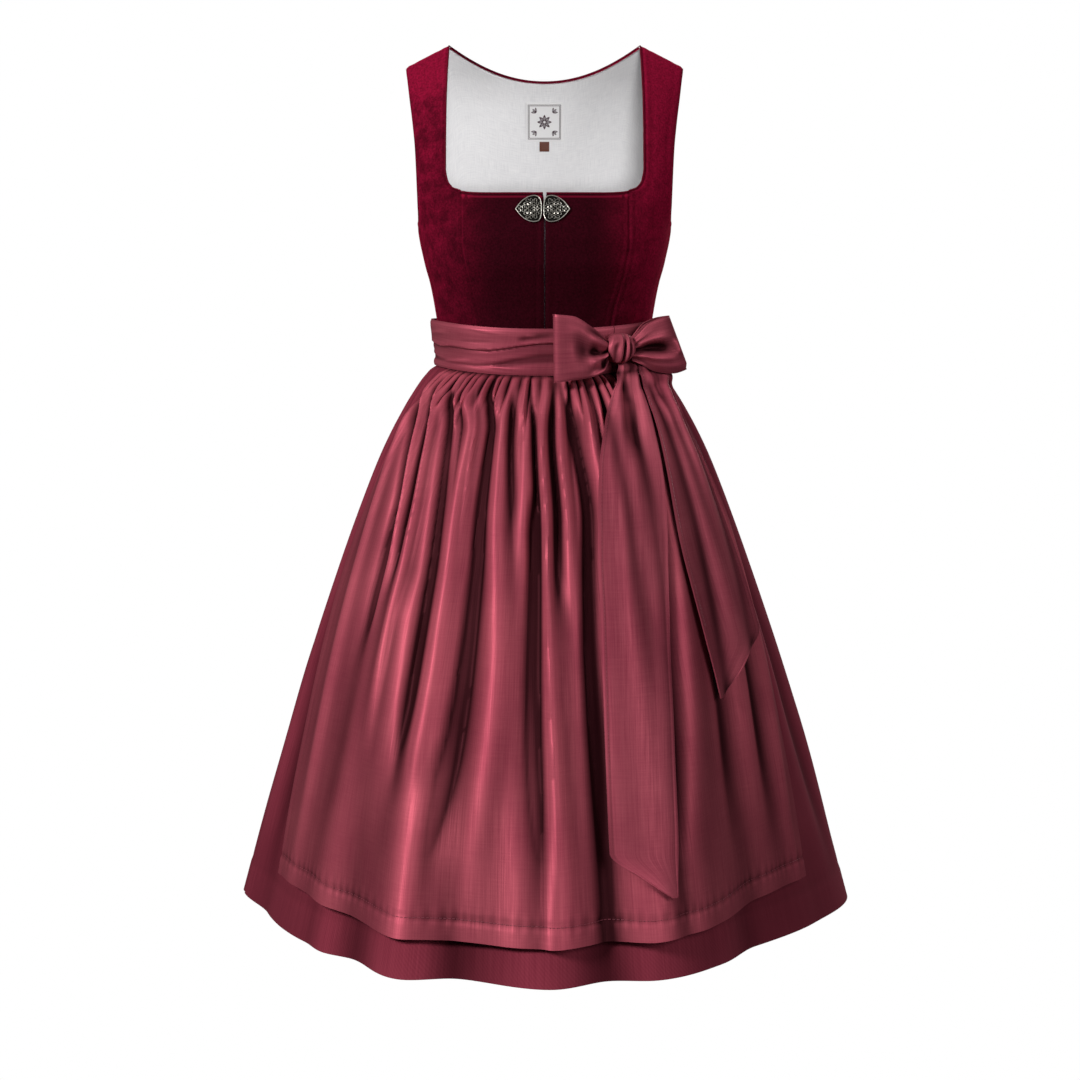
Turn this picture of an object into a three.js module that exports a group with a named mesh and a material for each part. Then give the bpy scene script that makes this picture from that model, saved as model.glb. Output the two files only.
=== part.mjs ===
// A dirndl in its worn, hollow form: a velvet bodice with a square neck, a gathered skirt, and a satin
// apron whose ties go round the waist and end in a bow on the wearer's left.
// Millimetres, +Z up, +Y towards the wearer's back, +X towards the wearer's left.
// The origin lies midway between the two shoulders, at the height where the straps rest on them.
import * as THREE from 'three';

// Cloth thicknesses and the clearance between neighbouring pieces.
const SEAM_GAP = 0.3;
const VELVET = 2.0;
const LINING = 1.0;
const SKIRT_CLOTH = 1.5;
const APRON_CLOTH = 1.4;
const HEM_EXTRA = 0.6;
const BAND_CLOTH = 1.5;
const SASH_CLOTH = 1.6;
const TIE_CLOTH = 1.4;

// Main sizes of the garment.
const NECK_HALF_WIDTH = 105;
const SHOULDER_HALF_WIDTH = 152;
const SHOULDER_FALL = 24;
const FRONT_NECK_Z = -164;
const BACK_NECK_DROP = 35;
const UNDERARM_Z = -192;
const WAIST_Z = -347;
const WAIST_FRONT_DIP = 9;
const HEM_Z = -946;
const SASH_HEIGHT = 50;

const material = {
  velvet: new THREE.MeshStandardMaterial({ color: 0x6a0b28, roughness: 0.85, metalness: 0 }),
  skirt: new THREE.MeshStandardMaterial({ color: 0x66202d, roughness: 0.7, metalness: 0 }),
  satin: new THREE.MeshStandardMaterial({ color: 0x8f3c4c, roughness: 0.42, metalness: 0 }),
  lining: new THREE.MeshStandardMaterial({ color: 0xd6d5d8, roughness: 0.9, metalness: 0 }),
  piping: new THREE.MeshStandardMaterial({ color: 0x3d0613, roughness: 0.6, metalness: 0 }),
  silver: new THREE.MeshStandardMaterial({ color: 0xa7a091, roughness: 0.4, metalness: 0.9 }),
  zip: new THREE.MeshStandardMaterial({ color: 0x4f4348, roughness: 0.5, metalness: 0.3 }),
  label: new THREE.MeshStandardMaterial({ color: 0xeeeeee, roughness: 0.8, metalness: 0 }),
  tab: new THREE.MeshStandardMaterial({ color: 0x5e2a14, roughness: 0.8, metalness: 0 }),
};

const dirndl = new THREE.Group();

// Small helpers for numbers.
const radians = (degrees) => (degrees * Math.PI) / 180;
const clamp = (value, low, high) => Math.min(high, Math.max(low, value));
const mix = (a, b, share) => a + (b - a) * share;
const smooth = (share) => {
  const s = clamp(share, 0, 1);
  return s * s * (3 - 2 * s);
};
const signedPower = (value, power) => Math.sign(value) * Math.abs(value) ** power;
const spread = (count, from, to) => Array.from({ length: count + 1 }, (_, i) => mix(from, to, i / count));

// Reads a column of a table at a place between its rows, on a smooth curve that never overshoots.
function readTable(table, key, at, column) {
  const last = table.length - 1;
  if (at <= table[0][key]) return table[0][column];
  if (at >= table[last][key]) return table[last][column];
  let i = 0;
  while (table[i + 1][key] < at) i += 1;
  const slope = (j) => (table[j + 1][column] - table[j][column]) / (table[j + 1][key] - table[j][key]);
  const tangent = (j) => {
    if (j === 0 || j === last) return slope(Math.min(j, last - 1));
    const [before, after] = [slope(j - 1), slope(j)];
    return before * after <= 0 ? 0 : (2 * before * after) / (before + after);
  };
  const step = table[i + 1][key] - table[i][key];
  const s = (at - table[i][key]) / step;
  return (
    table[i][column] * (1 + 2 * s) * (1 - s) ** 2 +
    tangent(i) * step * s * (1 - s) ** 2 +
    table[i + 1][column] * s * s * (3 - 2 * s) +
    tangent(i + 1) * step * s * s * (s - 1)
  );
}

// Turns triangles round when they face inwards, and adds the mesh to the garment.
function addMesh(name, points, triangles, look) {
  const volume = triangles.reduce((sum, [a, b, c]) => {
    const cross = new THREE.Vector3().crossVectors(points[b], points[c]);
    return sum + points[a].dot(cross);
  }, 0);
  const facing = volume < 0 ? triangles.map(([a, b, c]) => [a, c, b]) : triangles;
  const geometry = new THREE.BufferGeometry();
  geometry.setAttribute('position', new THREE.Float32BufferAttribute(points.flatMap((p) => p.toArray()), 3));
  geometry.setIndex(facing.flat());
  geometry.computeVertexNormals();
  const mesh = new THREE.Mesh(geometry, look);
  mesh.name = name;
  dirndl.add(mesh);
}

// Triangles between two neighbouring rows. The rows have the same number of points, or one of them
// has twice the segments of the other.
function stripBetween(upper, lower) {
  const made = [];
  const [n, m] = [upper.length - 1, lower.length - 1];
  if (n === m) {
    for (let i = 0; i < n; i += 1) {
      made.push([upper[i], lower[i], lower[i + 1]], [upper[i], lower[i + 1], upper[i + 1]]);
    }
    return made;
  }
  const [fine, coarse, turned] = n > m ? [upper, lower, false] : [lower, upper, true];
  for (let k = 0; k < coarse.length - 1; k += 1) {
    const [a, b, c] = [fine[2 * k], fine[2 * k + 1], fine[2 * k + 2]];
    const [p, q] = [coarse[k], coarse[k + 1]];
    made.push([a, p, b], [b, p, q], [b, q, c]);
  }
  return turned ? made.map(([a, b, c]) => [a, c, b]) : made;
}

// A cloth wall from rows of { outer, inner } points, closed along its four edges.
function addWall(name, rows, look) {
  const points = [];
  const number = (p) => points.push(p) - 1;
  const outer = rows.map((row) => row.map((pair) => number(pair.outer)));
  const inner = rows.map((row) => row.map((pair) => number(pair.inner)));
  const triangles = [];
  const flip = (list) => list.map(([a, b, c]) => [a, c, b]);
  for (let r = 0; r < rows.length - 1; r += 1) {
    triangles.push(...stripBetween(outer[r], outer[r + 1]));
    triangles.push(...flip(stripBetween(inner[r], inner[r + 1])));
  }
  const last = rows.length - 1;
  triangles.push(...stripBetween(inner[0], outer[0]), ...flip(stripBetween(inner[last], outer[last])));
  const sideOf = (grid, pick) => grid.map((row) => row[pick(row)]);
  const first = (row) => 0;
  const end = (row) => row.length - 1;
  triangles.push(...flip(stripBetween(sideOf(inner, first), sideOf(outer, first))));
  triangles.push(...stripBetween(sideOf(inner, end), sideOf(outer, end)));
  addMesh(name, points, triangles, look);
}

// Torso. Sections of a general figure by height, and the shape of the shoulders by the drop below them.
const ROUNDNESS = 2.4;
const torsoSections = [
  { z: -356, halfWidth: 116.5, front: 97, back: 88 },
  { z: -320, halfWidth: 117, front: 98, back: 86 },
  { z: -290, halfWidth: 121, front: 103, back: 87 },
  { z: -260, halfWidth: 126.5, front: 112, back: 90 },
  { z: -235, halfWidth: 133, front: 119, back: 93 },
  { z: -215, halfWidth: 137.5, front: 119, back: 95 },
  { z: -192, halfWidth: 141.5, front: 113, back: 97 },
  { z: -165, halfWidth: 152, front: 104, back: 98 },
  { z: -130, halfWidth: 156.5, front: 92, back: 95 },
  { z: 0, halfWidth: 160, front: 0, back: 0 },
];
const shoulderProfile = [
  { drop: 0, front: 0, back: 0 },
  { drop: 1.6, front: 7, back: 7 },
  { drop: 6, front: 14, back: 15 },
  { drop: 16, front: 25, back: 30 },
  { drop: 35, front: 43, back: 56 },
  { drop: 60, front: 61, back: 76 },
  { drop: 95, front: 79, back: 89 },
  { drop: 130, front: 92, back: 95 },
  { drop: 166, front: 104, back: 98 },
  { drop: 192, front: 113, back: 97 },
];
const shoulderLine = (x) =>
  -SHOULDER_FALL * Math.max(0, (Math.abs(x) - NECK_HALF_WIDTH) / (SHOULDER_HALF_WIDTH - NECK_HALF_WIDTH));

// A point of the torso's surface from its side-to-side place and height. facing is -1 at the front.
function torsoPoint(x, z, facing) {
  const side = facing < 0 ? 'front' : 'back';
  const halfWidth = readTable(torsoSections, 'z', z, 'halfWidth');
  const lift = smooth((z - UNDERARM_Z) / -UNDERARM_Z);
  const drop = shoulderLine(x) * lift - z;
  const depth =
    z < UNDERARM_Z
      ? readTable(torsoSections, 'z', z, side)
      : readTable(shoulderProfile, 'drop', Math.max(0, drop), side);
  const across = clamp(Math.abs(x) / halfWidth, 0, 1);
  const y = facing * depth * (1 - across ** ROUNDNESS) ** (1 / ROUNDNESS);
  return new THREE.Vector3(x, facing < 0 ? Math.min(y, -SEAM_GAP / 2) : Math.max(y, SEAM_GAP / 2), z);
}

// The outward normal there, level with the floor at the side seam and upright on the shoulder seam.
function torsoNormal(x, z, facing) {
  const halfWidth = readTable(torsoSections, 'z', z, 'halfWidth');
  if (Math.abs(x) > 0.995 * halfWidth) return new THREE.Vector3(Math.sign(x), 0, 0);
  if (shoulderLine(x) - z < 0.5) return new THREE.Vector3(0, 0, 1);
  const step = Math.min(0.5, 0.5 * (halfWidth - Math.abs(x)));
  const low = Math.min(0.4, shoulderLine(x) - z);
  const alongX = torsoPoint(x + step, z, facing).sub(torsoPoint(x - step, z, facing));
  const alongZ = torsoPoint(x, z + low, facing).sub(torsoPoint(x, z - 0.4, facing));
  const normal = new THREE.Vector3().crossVectors(alongX, alongZ).normalize();
  return normal.y * facing < 0 ? normal.negate() : normal;
}

// A pair of wall points on the torso: moved out by offset, and further in by the thickness.
function torsoPair(x, z, facing, thickness, offset = 0) {
  const normal = torsoNormal(x, z, facing);
  const outer = torsoPoint(x, z, facing).addScaledVector(normal, offset);
  return { outer, inner: outer.clone().addScaledVector(normal, -thickness) };
}

const torsoHalfWidth = (z) => readTable(torsoSections, 'z', z, 'halfWidth');
const frontDip = (x) => WAIST_FRONT_DIP * (1 - clamp(Math.abs(x) / torsoHalfWidth(WAIST_Z), 0, 1) ** 2);
const waistLine = (x, facing) => WAIST_Z - (facing < 0 ? frontDip(x) : 0);

// Front panels. The princess seam runs from the corner of the neckline to the waist.
const princessSeam = [
  { z: -356, x: 67 },
  { z: -320, x: 69 },
  { z: -290, x: 73 },
  { z: -260, x: 81 },
  { z: -235, x: 87 },
  { z: -215, x: 90 },
  { z: -162, x: 90 },
];
const princessX = (z) => readTable(princessSeam, 'z', z, 'x');
const FRONT_OPENING_GAP = 0.7;
const NOTCH_HALF_WIDTH = 2.6;
const NOTCH_DEPTH = 9;
const openingX = (z) =>
  mix(FRONT_OPENING_GAP, NOTCH_HALF_WIDTH, clamp((z - FRONT_NECK_Z + NOTCH_DEPTH) / NOTCH_DEPTH, 0, 1));
const frontNeckZ = (share) => FRONT_NECK_Z + 2 * share ** 4;
const FRONT_FALL = -3;

const seamHeights = [-353, -320, -290, -262, -238, -216, -190, -176, -162];
const seamTop = seamHeights.length - 1;
const centreColumns = spread(5, 0, 1);
function centrePlace(row, column) {
  const seamZ = row === 0 ? waistLine(princessX(WAIST_Z), -1) + SEAM_GAP / 2 : seamHeights[row];
  const share = (seamZ - seamHeights[0]) / (seamHeights[seamTop] - seamHeights[0]);
  const level = row === seamTop ? frontNeckZ(column) : seamZ + FRONT_FALL * (1 - column ** 2) * (1 - share);
  const x = mix(openingX(level), princessX(seamZ) - SEAM_GAP / 2, column);
  return { x, z: row === 0 ? waistLine(x, -1) + SEAM_GAP / 2 : level };
}
function addCentreFront(name, side) {
  const rows = seamHeights.map((_, row) =>
    centreColumns.map((column) => {
      const { x, z } = centrePlace(row, column);
      return torsoPair(side * x, z, -1, VELVET);
    }),
  );
  addWall(name, rows, material.velvet);
}
addCentreFront('bodice_front_centre_right', -1);
addCentreFront('bodice_front_centre_left', 1);

// The side front goes on up as the strap. Each row runs from the princess seam or neckline to the side
// seam or armhole. An outer place of null is the side seam.
const sideFrontRows = [
  ...[-347, -320, -290, -262, -238, -216, -196].map((outerZ) => ({ innerX: null, outerX: null, outerZ })),
  { innerX: null, outerX: 139, outerZ: -191 },
  { innerX: null, outerX: 138.5, outerZ: -181 },
  { innerX: 99.5, innerZ: -156.5, outerX: 138.6, outerZ: -168 },
  { innerX: 105.6, innerZ: -146, outerX: 139, outerZ: -155 },
  { innerX: 107, innerZ: -132, outerX: 139.5, outerZ: -140 },
  { innerX: 107, innerZ: -100, outerX: 141.2, outerZ: -112 },
  { innerX: 106.9, innerZ: -66, outerX: 144.5, outerZ: -82 },
  { innerX: 106.3, innerZ: -38, outerX: 148, outerZ: -57 },
  { innerX: 105.7, innerZ: -17, outerX: 150.3, outerZ: -39 },
  { innerX: 105.2, innerZ: -6, outerX: 151.6, outerZ: -29.5 },
  { innerX: 105, innerZ: -1.6, outerX: 152, outerZ: -25.6 },
  { innerX: 105, innerZ: 0, outerX: 152, outerZ: -24 },
];
const sideFrontColumns = [0, 0.24, 0.48, 0.7, 0.88, 0.97, 1];
function sideFrontPlace(rowNumber, column) {
  const row = sideFrontRows[rowNumber];
  const seamZ = seamHeights[rowNumber];
  const innerZ = row.innerX === null ? seamZ : row.innerZ;
  const innerX = row.innerX ?? princessX(rowNumber === 0 ? centrePlace(0, 1).z : innerZ) + SEAM_GAP / 2;
  const x = mix(innerX, row.outerX ?? torsoHalfWidth(row.outerZ), column);
  return { x, z: rowNumber === 0 ? waistLine(x, -1) + SEAM_GAP / 2 : mix(innerZ, row.outerZ, column) };
}
function addSideFront(name, side) {
  const rows = sideFrontRows.map((_, rowNumber) =>
    sideFrontColumns.map((column) => {
      const { x, z } = sideFrontPlace(rowNumber, column);
      return torsoPair(side * x, z, -1, VELVET);
    }),
  );
  addWall(name, rows, material.velvet);
}
addSideFront('bodice_side_front_right', -1);
addSideFront('bodice_side_front_left', 1);

// Back panel, in one piece from side seam to side seam, with its lining inside it.
const backEdge = [
  { share: 0, x: null, z: -347 },
  { share: 0.1, x: null, z: -320 },
  { share: 0.19, x: null, z: -290 },
  { share: 0.28, x: null, z: -262 },
  { share: 0.36, x: null, z: -238 },
  { share: 0.43, x: null, z: -216 },
  { share: 0.5, x: null, z: -196 },
  { share: 0.55, x: 139, z: -190 },
  { share: 0.62, x: 138, z: -174 },
  { share: 0.71, x: 138.4, z: -140 },
  { share: 0.81, x: 141, z: -104 },
  { share: 0.9, x: 145.5, z: -70 },
  { share: 0.96, x: 149.6, z: -41 },
  { share: 0.987, x: 151.2, z: -30 },
  { share: 1, x: 152, z: -24 },
];
const NECK_COLUMN = NECK_HALF_WIDTH / SHOULDER_HALF_WIDTH;
const backHalf = [0.18, 0.36, 0.54, NECK_COLUMN, 0.82, 0.92, 0.975, 1];
const backColumns = [...backHalf.map((c) => -c).reverse(), 0, ...backHalf];
const backNeckZ = (x) => -BACK_NECK_DROP * Math.max(0, 1 - (Math.abs(x) / NECK_HALF_WIDTH) ** 2);
const backTopZ = (x) => (Math.abs(x) < NECK_HALF_WIDTH ? backNeckZ(x) : shoulderLine(x));
function backPlace(edge, column) {
  const x = (edge.x ?? torsoHalfWidth(edge.z)) * column;
  const topX = SHOULDER_HALF_WIDTH * column;
  const middleZ = mix(WAIST_Z, backTopZ(topX), edge.share);
  const beyondArm = smooth((Math.abs(column) - 0.5) / 0.5);
  return { x, z: mix(middleZ, edge.z, edge.share < 1 ? beyondArm : 0) };
}
addWall(
  'bodice_back',
  backEdge.map((edge, i) =>
    backColumns.map((column) => {
      const { x, z } = backPlace(edge, column);
      return torsoPair(x, i === 0 ? WAIST_Z + SEAM_GAP / 2 : z, 1, VELVET);
    }),
  ),
  material.velvet,
);

const LINING_GAP = 0.5;
addWall(
  'back_lining',
  backEdge.slice(0, -1).map((edge, i) =>
    backColumns.slice(1, -1).map((column) => {
      const { x, z } = backPlace(edge, column);
      return torsoPair(x, i === 0 ? WAIST_Z + 4 : z, 1, LINING, -VELVET - LINING_GAP);
    }),
  ),
  material.lining,
);

// Piping along the whole neckline, a filled cord of bias cloth sewn to the edge.
const PIPING_RADIUS = 1.2;
const PIPING_SIDES = 6;
const PIPING_SPACE = PIPING_RADIUS + 0.45;
function neckEdge() {
  const at = ({ x, z }, facing) => {
    const { outer, inner } = torsoPair(x, z, facing, VELVET);
    return { middle: outer.add(inner).multiplyScalar(0.5), normal: torsoNormal(x, z, facing) };
  };
  const front = centreColumns.map((column) => centrePlace(seamTop, column));
  const strap = sideFrontRows.map((_, row) => sideFrontPlace(row, 0)).slice(seamTop + 1);
  const back = backColumns.slice(backHalf.length).map((c) => SHOULDER_HALF_WIDTH * c);
  const half = [
    ...front.map((place) => at(place, -1)),
    ...strap.map((place) => at(place, -1)),
    ...back.filter((x) => x < NECK_HALF_WIDTH - 1).reverse().map((x) => at({ x, z: backNeckZ(x) }, 1)),
  ];
  const mirrored = half.map(({ middle, normal }) => ({
    middle: new THREE.Vector3(-middle.x, middle.y, middle.z),
    normal: new THREE.Vector3(-normal.x, normal.y, normal.z),
  }));
  return [...mirrored, ...half.slice(0, -1).reverse()];
}
// The cord runs just off the cloth's edge, in the plane of the cloth.
const pipingPath = neckEdge().map(({ middle, normal }, i, edge) => {
  const before = edge[Math.max(0, i - 1)].middle;
  const after = edge[Math.min(edge.length - 1, i + 1)].middle;
  const away = new THREE.Vector3().crossVectors(after.clone().sub(before), normal).normalize();
  return middle.clone().addScaledVector(away, PIPING_SPACE);
});
function addTube(name, path, radius, sides, look) {
  const points = [];
  const rings = path.map((centre, i) => {
    const ahead = path[Math.min(path.length - 1, i + 1)];
    const behind = path[Math.max(0, i - 1)];
    const run = ahead.clone().sub(behind).normalize();
    const out = new THREE.Vector3(0, 1, 0).addScaledVector(run, -run.y).normalize();
    const across = new THREE.Vector3().crossVectors(run, out);
    return spread(sides, 0, 2 * Math.PI).slice(0, -1).map((angle) => {
      const rim = centre.clone().addScaledVector(out, radius * Math.cos(angle));
      return points.push(rim.addScaledVector(across, radius * Math.sin(angle))) - 1;
    });
  });
  const triangles = [];
  rings.slice(0, -1).forEach((ring, r) => {
    triangles.push(...stripBetween([...ring, ring[0]], [...rings[r + 1], rings[r + 1][0]]));
  });
  const cap = (ring) => ring.slice(1, -1).map((_, i) => [ring[0], ring[i + 1], ring[i + 2]]);
  triangles.push(...cap(rings[0]), ...cap([...rings[rings.length - 1]].reverse()));
  addMesh(name, points, triangles, look);
}
addTube('neck_piping', pipingPath, PIPING_RADIUS, PIPING_SIDES, material.piping);

// Zip tape behind the front opening.
const ZIP_HALF_WIDTH = 7;
const ZIP_GAP = 1.1;
const zipHeights = seamHeights.map((_, row) => centrePlace(row, 0).z + (row === seamTop ? -6 : 0));
addWall(
  'front_zip',
  zipHeights.map((z) => [-1, 0, 1].map((c) => torsoPair(c * ZIP_HALF_WIDTH, z, -1, 1, -VELVET - ZIP_GAP))),
  material.zip,
);

// Two-part clasp: thin cast plates, round where they meet and pointed at the far end.
const CLASP_LENGTH = 29;
const CLASP_HALF_HEIGHT = 15;
const CLASP_THICKNESS = 1.6;
const CLASP_Z = -181;
const CLASP_SHIFT = -2.2;
const CLASP_CLEARANCE = 0.6;
function claspOutline(side) {
  const shape = new THREE.Shape();
  const at = (x, z) => [side * x, z];
  shape.moveTo(...at(0.9, 0));
  shape.bezierCurveTo(...at(0.9, 8), ...at(2.6, CLASP_HALF_HEIGHT), ...at(9, CLASP_HALF_HEIGHT));
  shape.bezierCurveTo(...at(15, CLASP_HALF_HEIGHT), ...at(23, 7.5), ...at(CLASP_LENGTH, 0.6));
  shape.lineTo(...at(CLASP_LENGTH, -0.6));
  shape.bezierCurveTo(...at(23, -7.5), ...at(15, -CLASP_HALF_HEIGHT), ...at(9, -CLASP_HALF_HEIGHT));
  shape.bezierCurveTo(...at(2.6, -CLASP_HALF_HEIGHT), ...at(0.9, -8), ...at(0.9, 0));
  return shape;
}
function addClasp(name, side) {
  const plate = new THREE.ExtrudeGeometry(claspOutline(side), {
    depth: CLASP_THICKNESS,
    curveSegments: 7,
    bevelThickness: 0.5,
    bevelSize: 0.5,
    bevelOffset: -0.5,
    bevelSegments: 1,
  });
  plate.translate(0, 0, 0.5 + CLASP_CLEARANCE);
  const seat = side * 12 + CLASP_SHIFT;
  const normal = torsoNormal(seat, CLASP_Z, -1);
  const across = new THREE.Vector3(1, 0, 0).addScaledVector(normal, -normal.x).normalize();
  const up = new THREE.Vector3().crossVectors(normal, across);
  const middle = torsoPoint(seat, CLASP_Z, -1).addScaledVector(across, -side * 12);
  const mesh = new THREE.Mesh(plate, material.silver);
  mesh.name = name;
  mesh.setRotationFromMatrix(new THREE.Matrix4().makeBasis(across, up, normal));
  mesh.position.copy(middle);
  dirndl.add(mesh);
}
addClasp('clasp_right', -1);
addClasp('clasp_left', 1);

// Label and size tab, both sewn to the back lining below the neckline, both blank.
const LINING_INSIDE = -VELVET - LINING_GAP - LINING;
function addPatch(name, halfWidth, top, bottom, thickness, offset, look) {
  const rows = spread(2, top, bottom).map((z) =>
    spread(4, -halfWidth, halfWidth).map((x) => torsoPair(x, z, 1, thickness, LINING_INSIDE - offset)),
  );
  addWall(name, rows, look);
}
addPatch('label', 21, -54, -98, 0.8, 1.1, material.label);
addPatch('size_tab', 5.5, -98.5, -109.5, 0.7, 1.1, material.tab);

// Skirt. t runs from 0 at the gathered waist to 1 at the hem, and an angle of 0 is the centre front.
const skirtSections = [
  { t: 0, halfWidth: 117, front: 97.5, back: 88.5, roundness: 2.4 },
  { t: 0.012, halfWidth: 124, front: 105, back: 96, roundness: 2.4 },
  { t: 0.03, halfWidth: 133, front: 115, back: 106, roundness: 2.38 },
  { t: 0.06, halfWidth: 144, front: 127, back: 119, roundness: 2.35 },
  { t: 0.1, halfWidth: 156, front: 141, back: 134, roundness: 2.3 },
  { t: 0.16, halfWidth: 174, front: 161, back: 155, roundness: 2.22 },
  { t: 0.23, halfWidth: 192, front: 181, back: 176, roundness: 2.14 },
  { t: 0.35, halfWidth: 220, front: 213, back: 209, roundness: 2.02 },
  { t: 0.5, halfWidth: 252, front: 249, back: 246, roundness: 2 },
  { t: 0.65, halfWidth: 281, front: 281, back: 278, roundness: 2 },
  { t: 0.8, halfWidth: 309, front: 312, back: 308, roundness: 2 },
  { t: 1, halfWidth: 342, front: 352, back: 342, roundness: 2 },
];

// A pair of points on the skirt's cone, moved out level by offset. lift raises the lower end of the cloth.
function skirtPair(angle, t, offset, thickness) {
  const read = (column) => readTable(skirtSections, 't', t, column);
  const turn = radians(angle);
  const [s, c] = [Math.sin(turn), Math.cos(turn)];
  const [a, b, n] = [read('halfWidth'), c > 0 ? read('front') : read('back'), read('roundness')];
  const x = a * signedPower(s, 2 / n);
  const y = -b * signedPower(c, 2 / n);
  const top = WAIST_Z - WAIST_FRONT_DIP * Math.max(0, c) ** 2;
  const z = mix(top, HEM_Z, t);
  const out = new THREE.Vector3(
    Math.sign(x) * (Math.abs(x) / a) ** (n - 1) / a,
    Math.sign(y) * (Math.abs(y) / b) ** (n - 1) / b,
    0,
  ).normalize();
  const outer = new THREE.Vector3(x, y, z).addScaledVector(out, offset);
  return { outer, inner: outer.clone().addScaledVector(out, -thickness) };
}

// How far the hem stands in or out of its even outline, by angle round the body.
const hemOutline = [
  { angle: -180, offset: 15 },
  { angle: -169, offset: -9 },
  { angle: -155, offset: 12 },
  { angle: -144, offset: -7 },
  { angle: -131, offset: 13 },
  { angle: -119, offset: -11 },
  { angle: -106, offset: 7 },
  { angle: -92, offset: 1 },
  { angle: -74, offset: -26 },
  { angle: -52, offset: -22 },
  { angle: -44, offset: -13 },
  { angle: -38, offset: -17 },
  { angle: -24, offset: 17 },
  { angle: -15, offset: -5 },
  { angle: 1, offset: 20 },
  { angle: 11, offset: -3 },
  { angle: 19, offset: 8 },
  { angle: 33, offset: -12 },
  { angle: 46, offset: -36 },
  { angle: 67, offset: -24 },
  { angle: 88, offset: 0 },
  { angle: 103, offset: -13 },
  { angle: 116, offset: 11 },
  { angle: 130, offset: -8 },
  { angle: 143, offset: 13 },
  { angle: 156, offset: -10 },
  { angle: 168, offset: 6 },
  { angle: 180, offset: 15 },
];
const ridge = (distance, width) => Math.exp(-((distance / width) ** 2));
function hemWave(angle, t) {
  const grown = smooth((t - 0.15) / 0.85) ** 1.3;
  return grown * readTable(hemOutline, 'angle', angle > 180 ? angle - 360 : angle, 'offset');
}

// Gathers at the waist. Each one is a small pleat that melts into the skirt below it.
const GATHER_PITCH = 7.5;
const GATHER_RISE = 2.4;
function gather(angle, t, pitch, rise, end) {
  const uneven = angle + 0.9 * Math.sin(radians(angle * 7.3)) + 0.6 * Math.sin(radians(angle * 17.9));
  const wave = Math.sin((2 * Math.PI * uneven) / pitch);
  const grown = smooth(t / 0.02) * (1 - smooth((t - 0.05) / end));
  return rise * wave * grown;
}

const SKIRT_GATHER_END = 0.4;
function skirtOffset(angle, t) {
  return hemWave(angle, t) + gather(angle, t, GATHER_PITCH, GATHER_RISE, SKIRT_GATHER_END);
}
const skirtTop = [0, 0.012, 0.035, 0.09];
const skirtLow = [0.17, 0.27, 0.4, 0.55, 0.7, 0.85, 1];
function skirtRow(t, angles, offsetAt) {
  return angles.map((angle) => {
    const pair = skirtPair(angle, t, offsetAt(angle, t), SKIRT_CLOTH);
    const seam = SEAM_GAP / 2;
    if (Math.abs(angle) === 90 || angle === 270) {
      pair.outer.y = angles[0] < 0 ? -seam : seam;
      pair.inner.y = pair.outer.y;
    }
    const drop = t === 0 ? SEAM_GAP / 2 : 0;
    pair.outer.z -= drop;
    pair.inner.z -= drop;
    return pair;
  });
}

// The back is gathered all along. The front lies flat under the apron and is gathered at its sides.
addWall(
  'skirt_back',
  [
    ...skirtTop.map((t) => skirtRow(t, spread(96, 90, 270), skirtOffset)),
    ...skirtLow.map((t) => skirtRow(t, spread(48, 90, 270), skirtOffset)),
  ],
  material.skirt,
);
const APRON_GAP = 3.2;
function frontSkirtOffset(angle, t) {
  const besideApron = smooth((Math.abs(angle) - 58) / 12);
  return hemWave(angle, t) + besideApron * gather(angle, t, GATHER_PITCH, GATHER_RISE, SKIRT_GATHER_END);
}
const besideRight = spread(9, -90, -57);
const underApron = spread(22, -57, 57).slice(1, -1);
const besideLeft = spread(9, 57, 90);
addWall(
  'skirt_front',
  [...skirtTop, ...skirtLow].map((t) =>
    skirtRow(t, [...besideRight, ...underApron, ...besideLeft], frontSkirtOffset),
  ),
  material.skirt,
);

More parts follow.
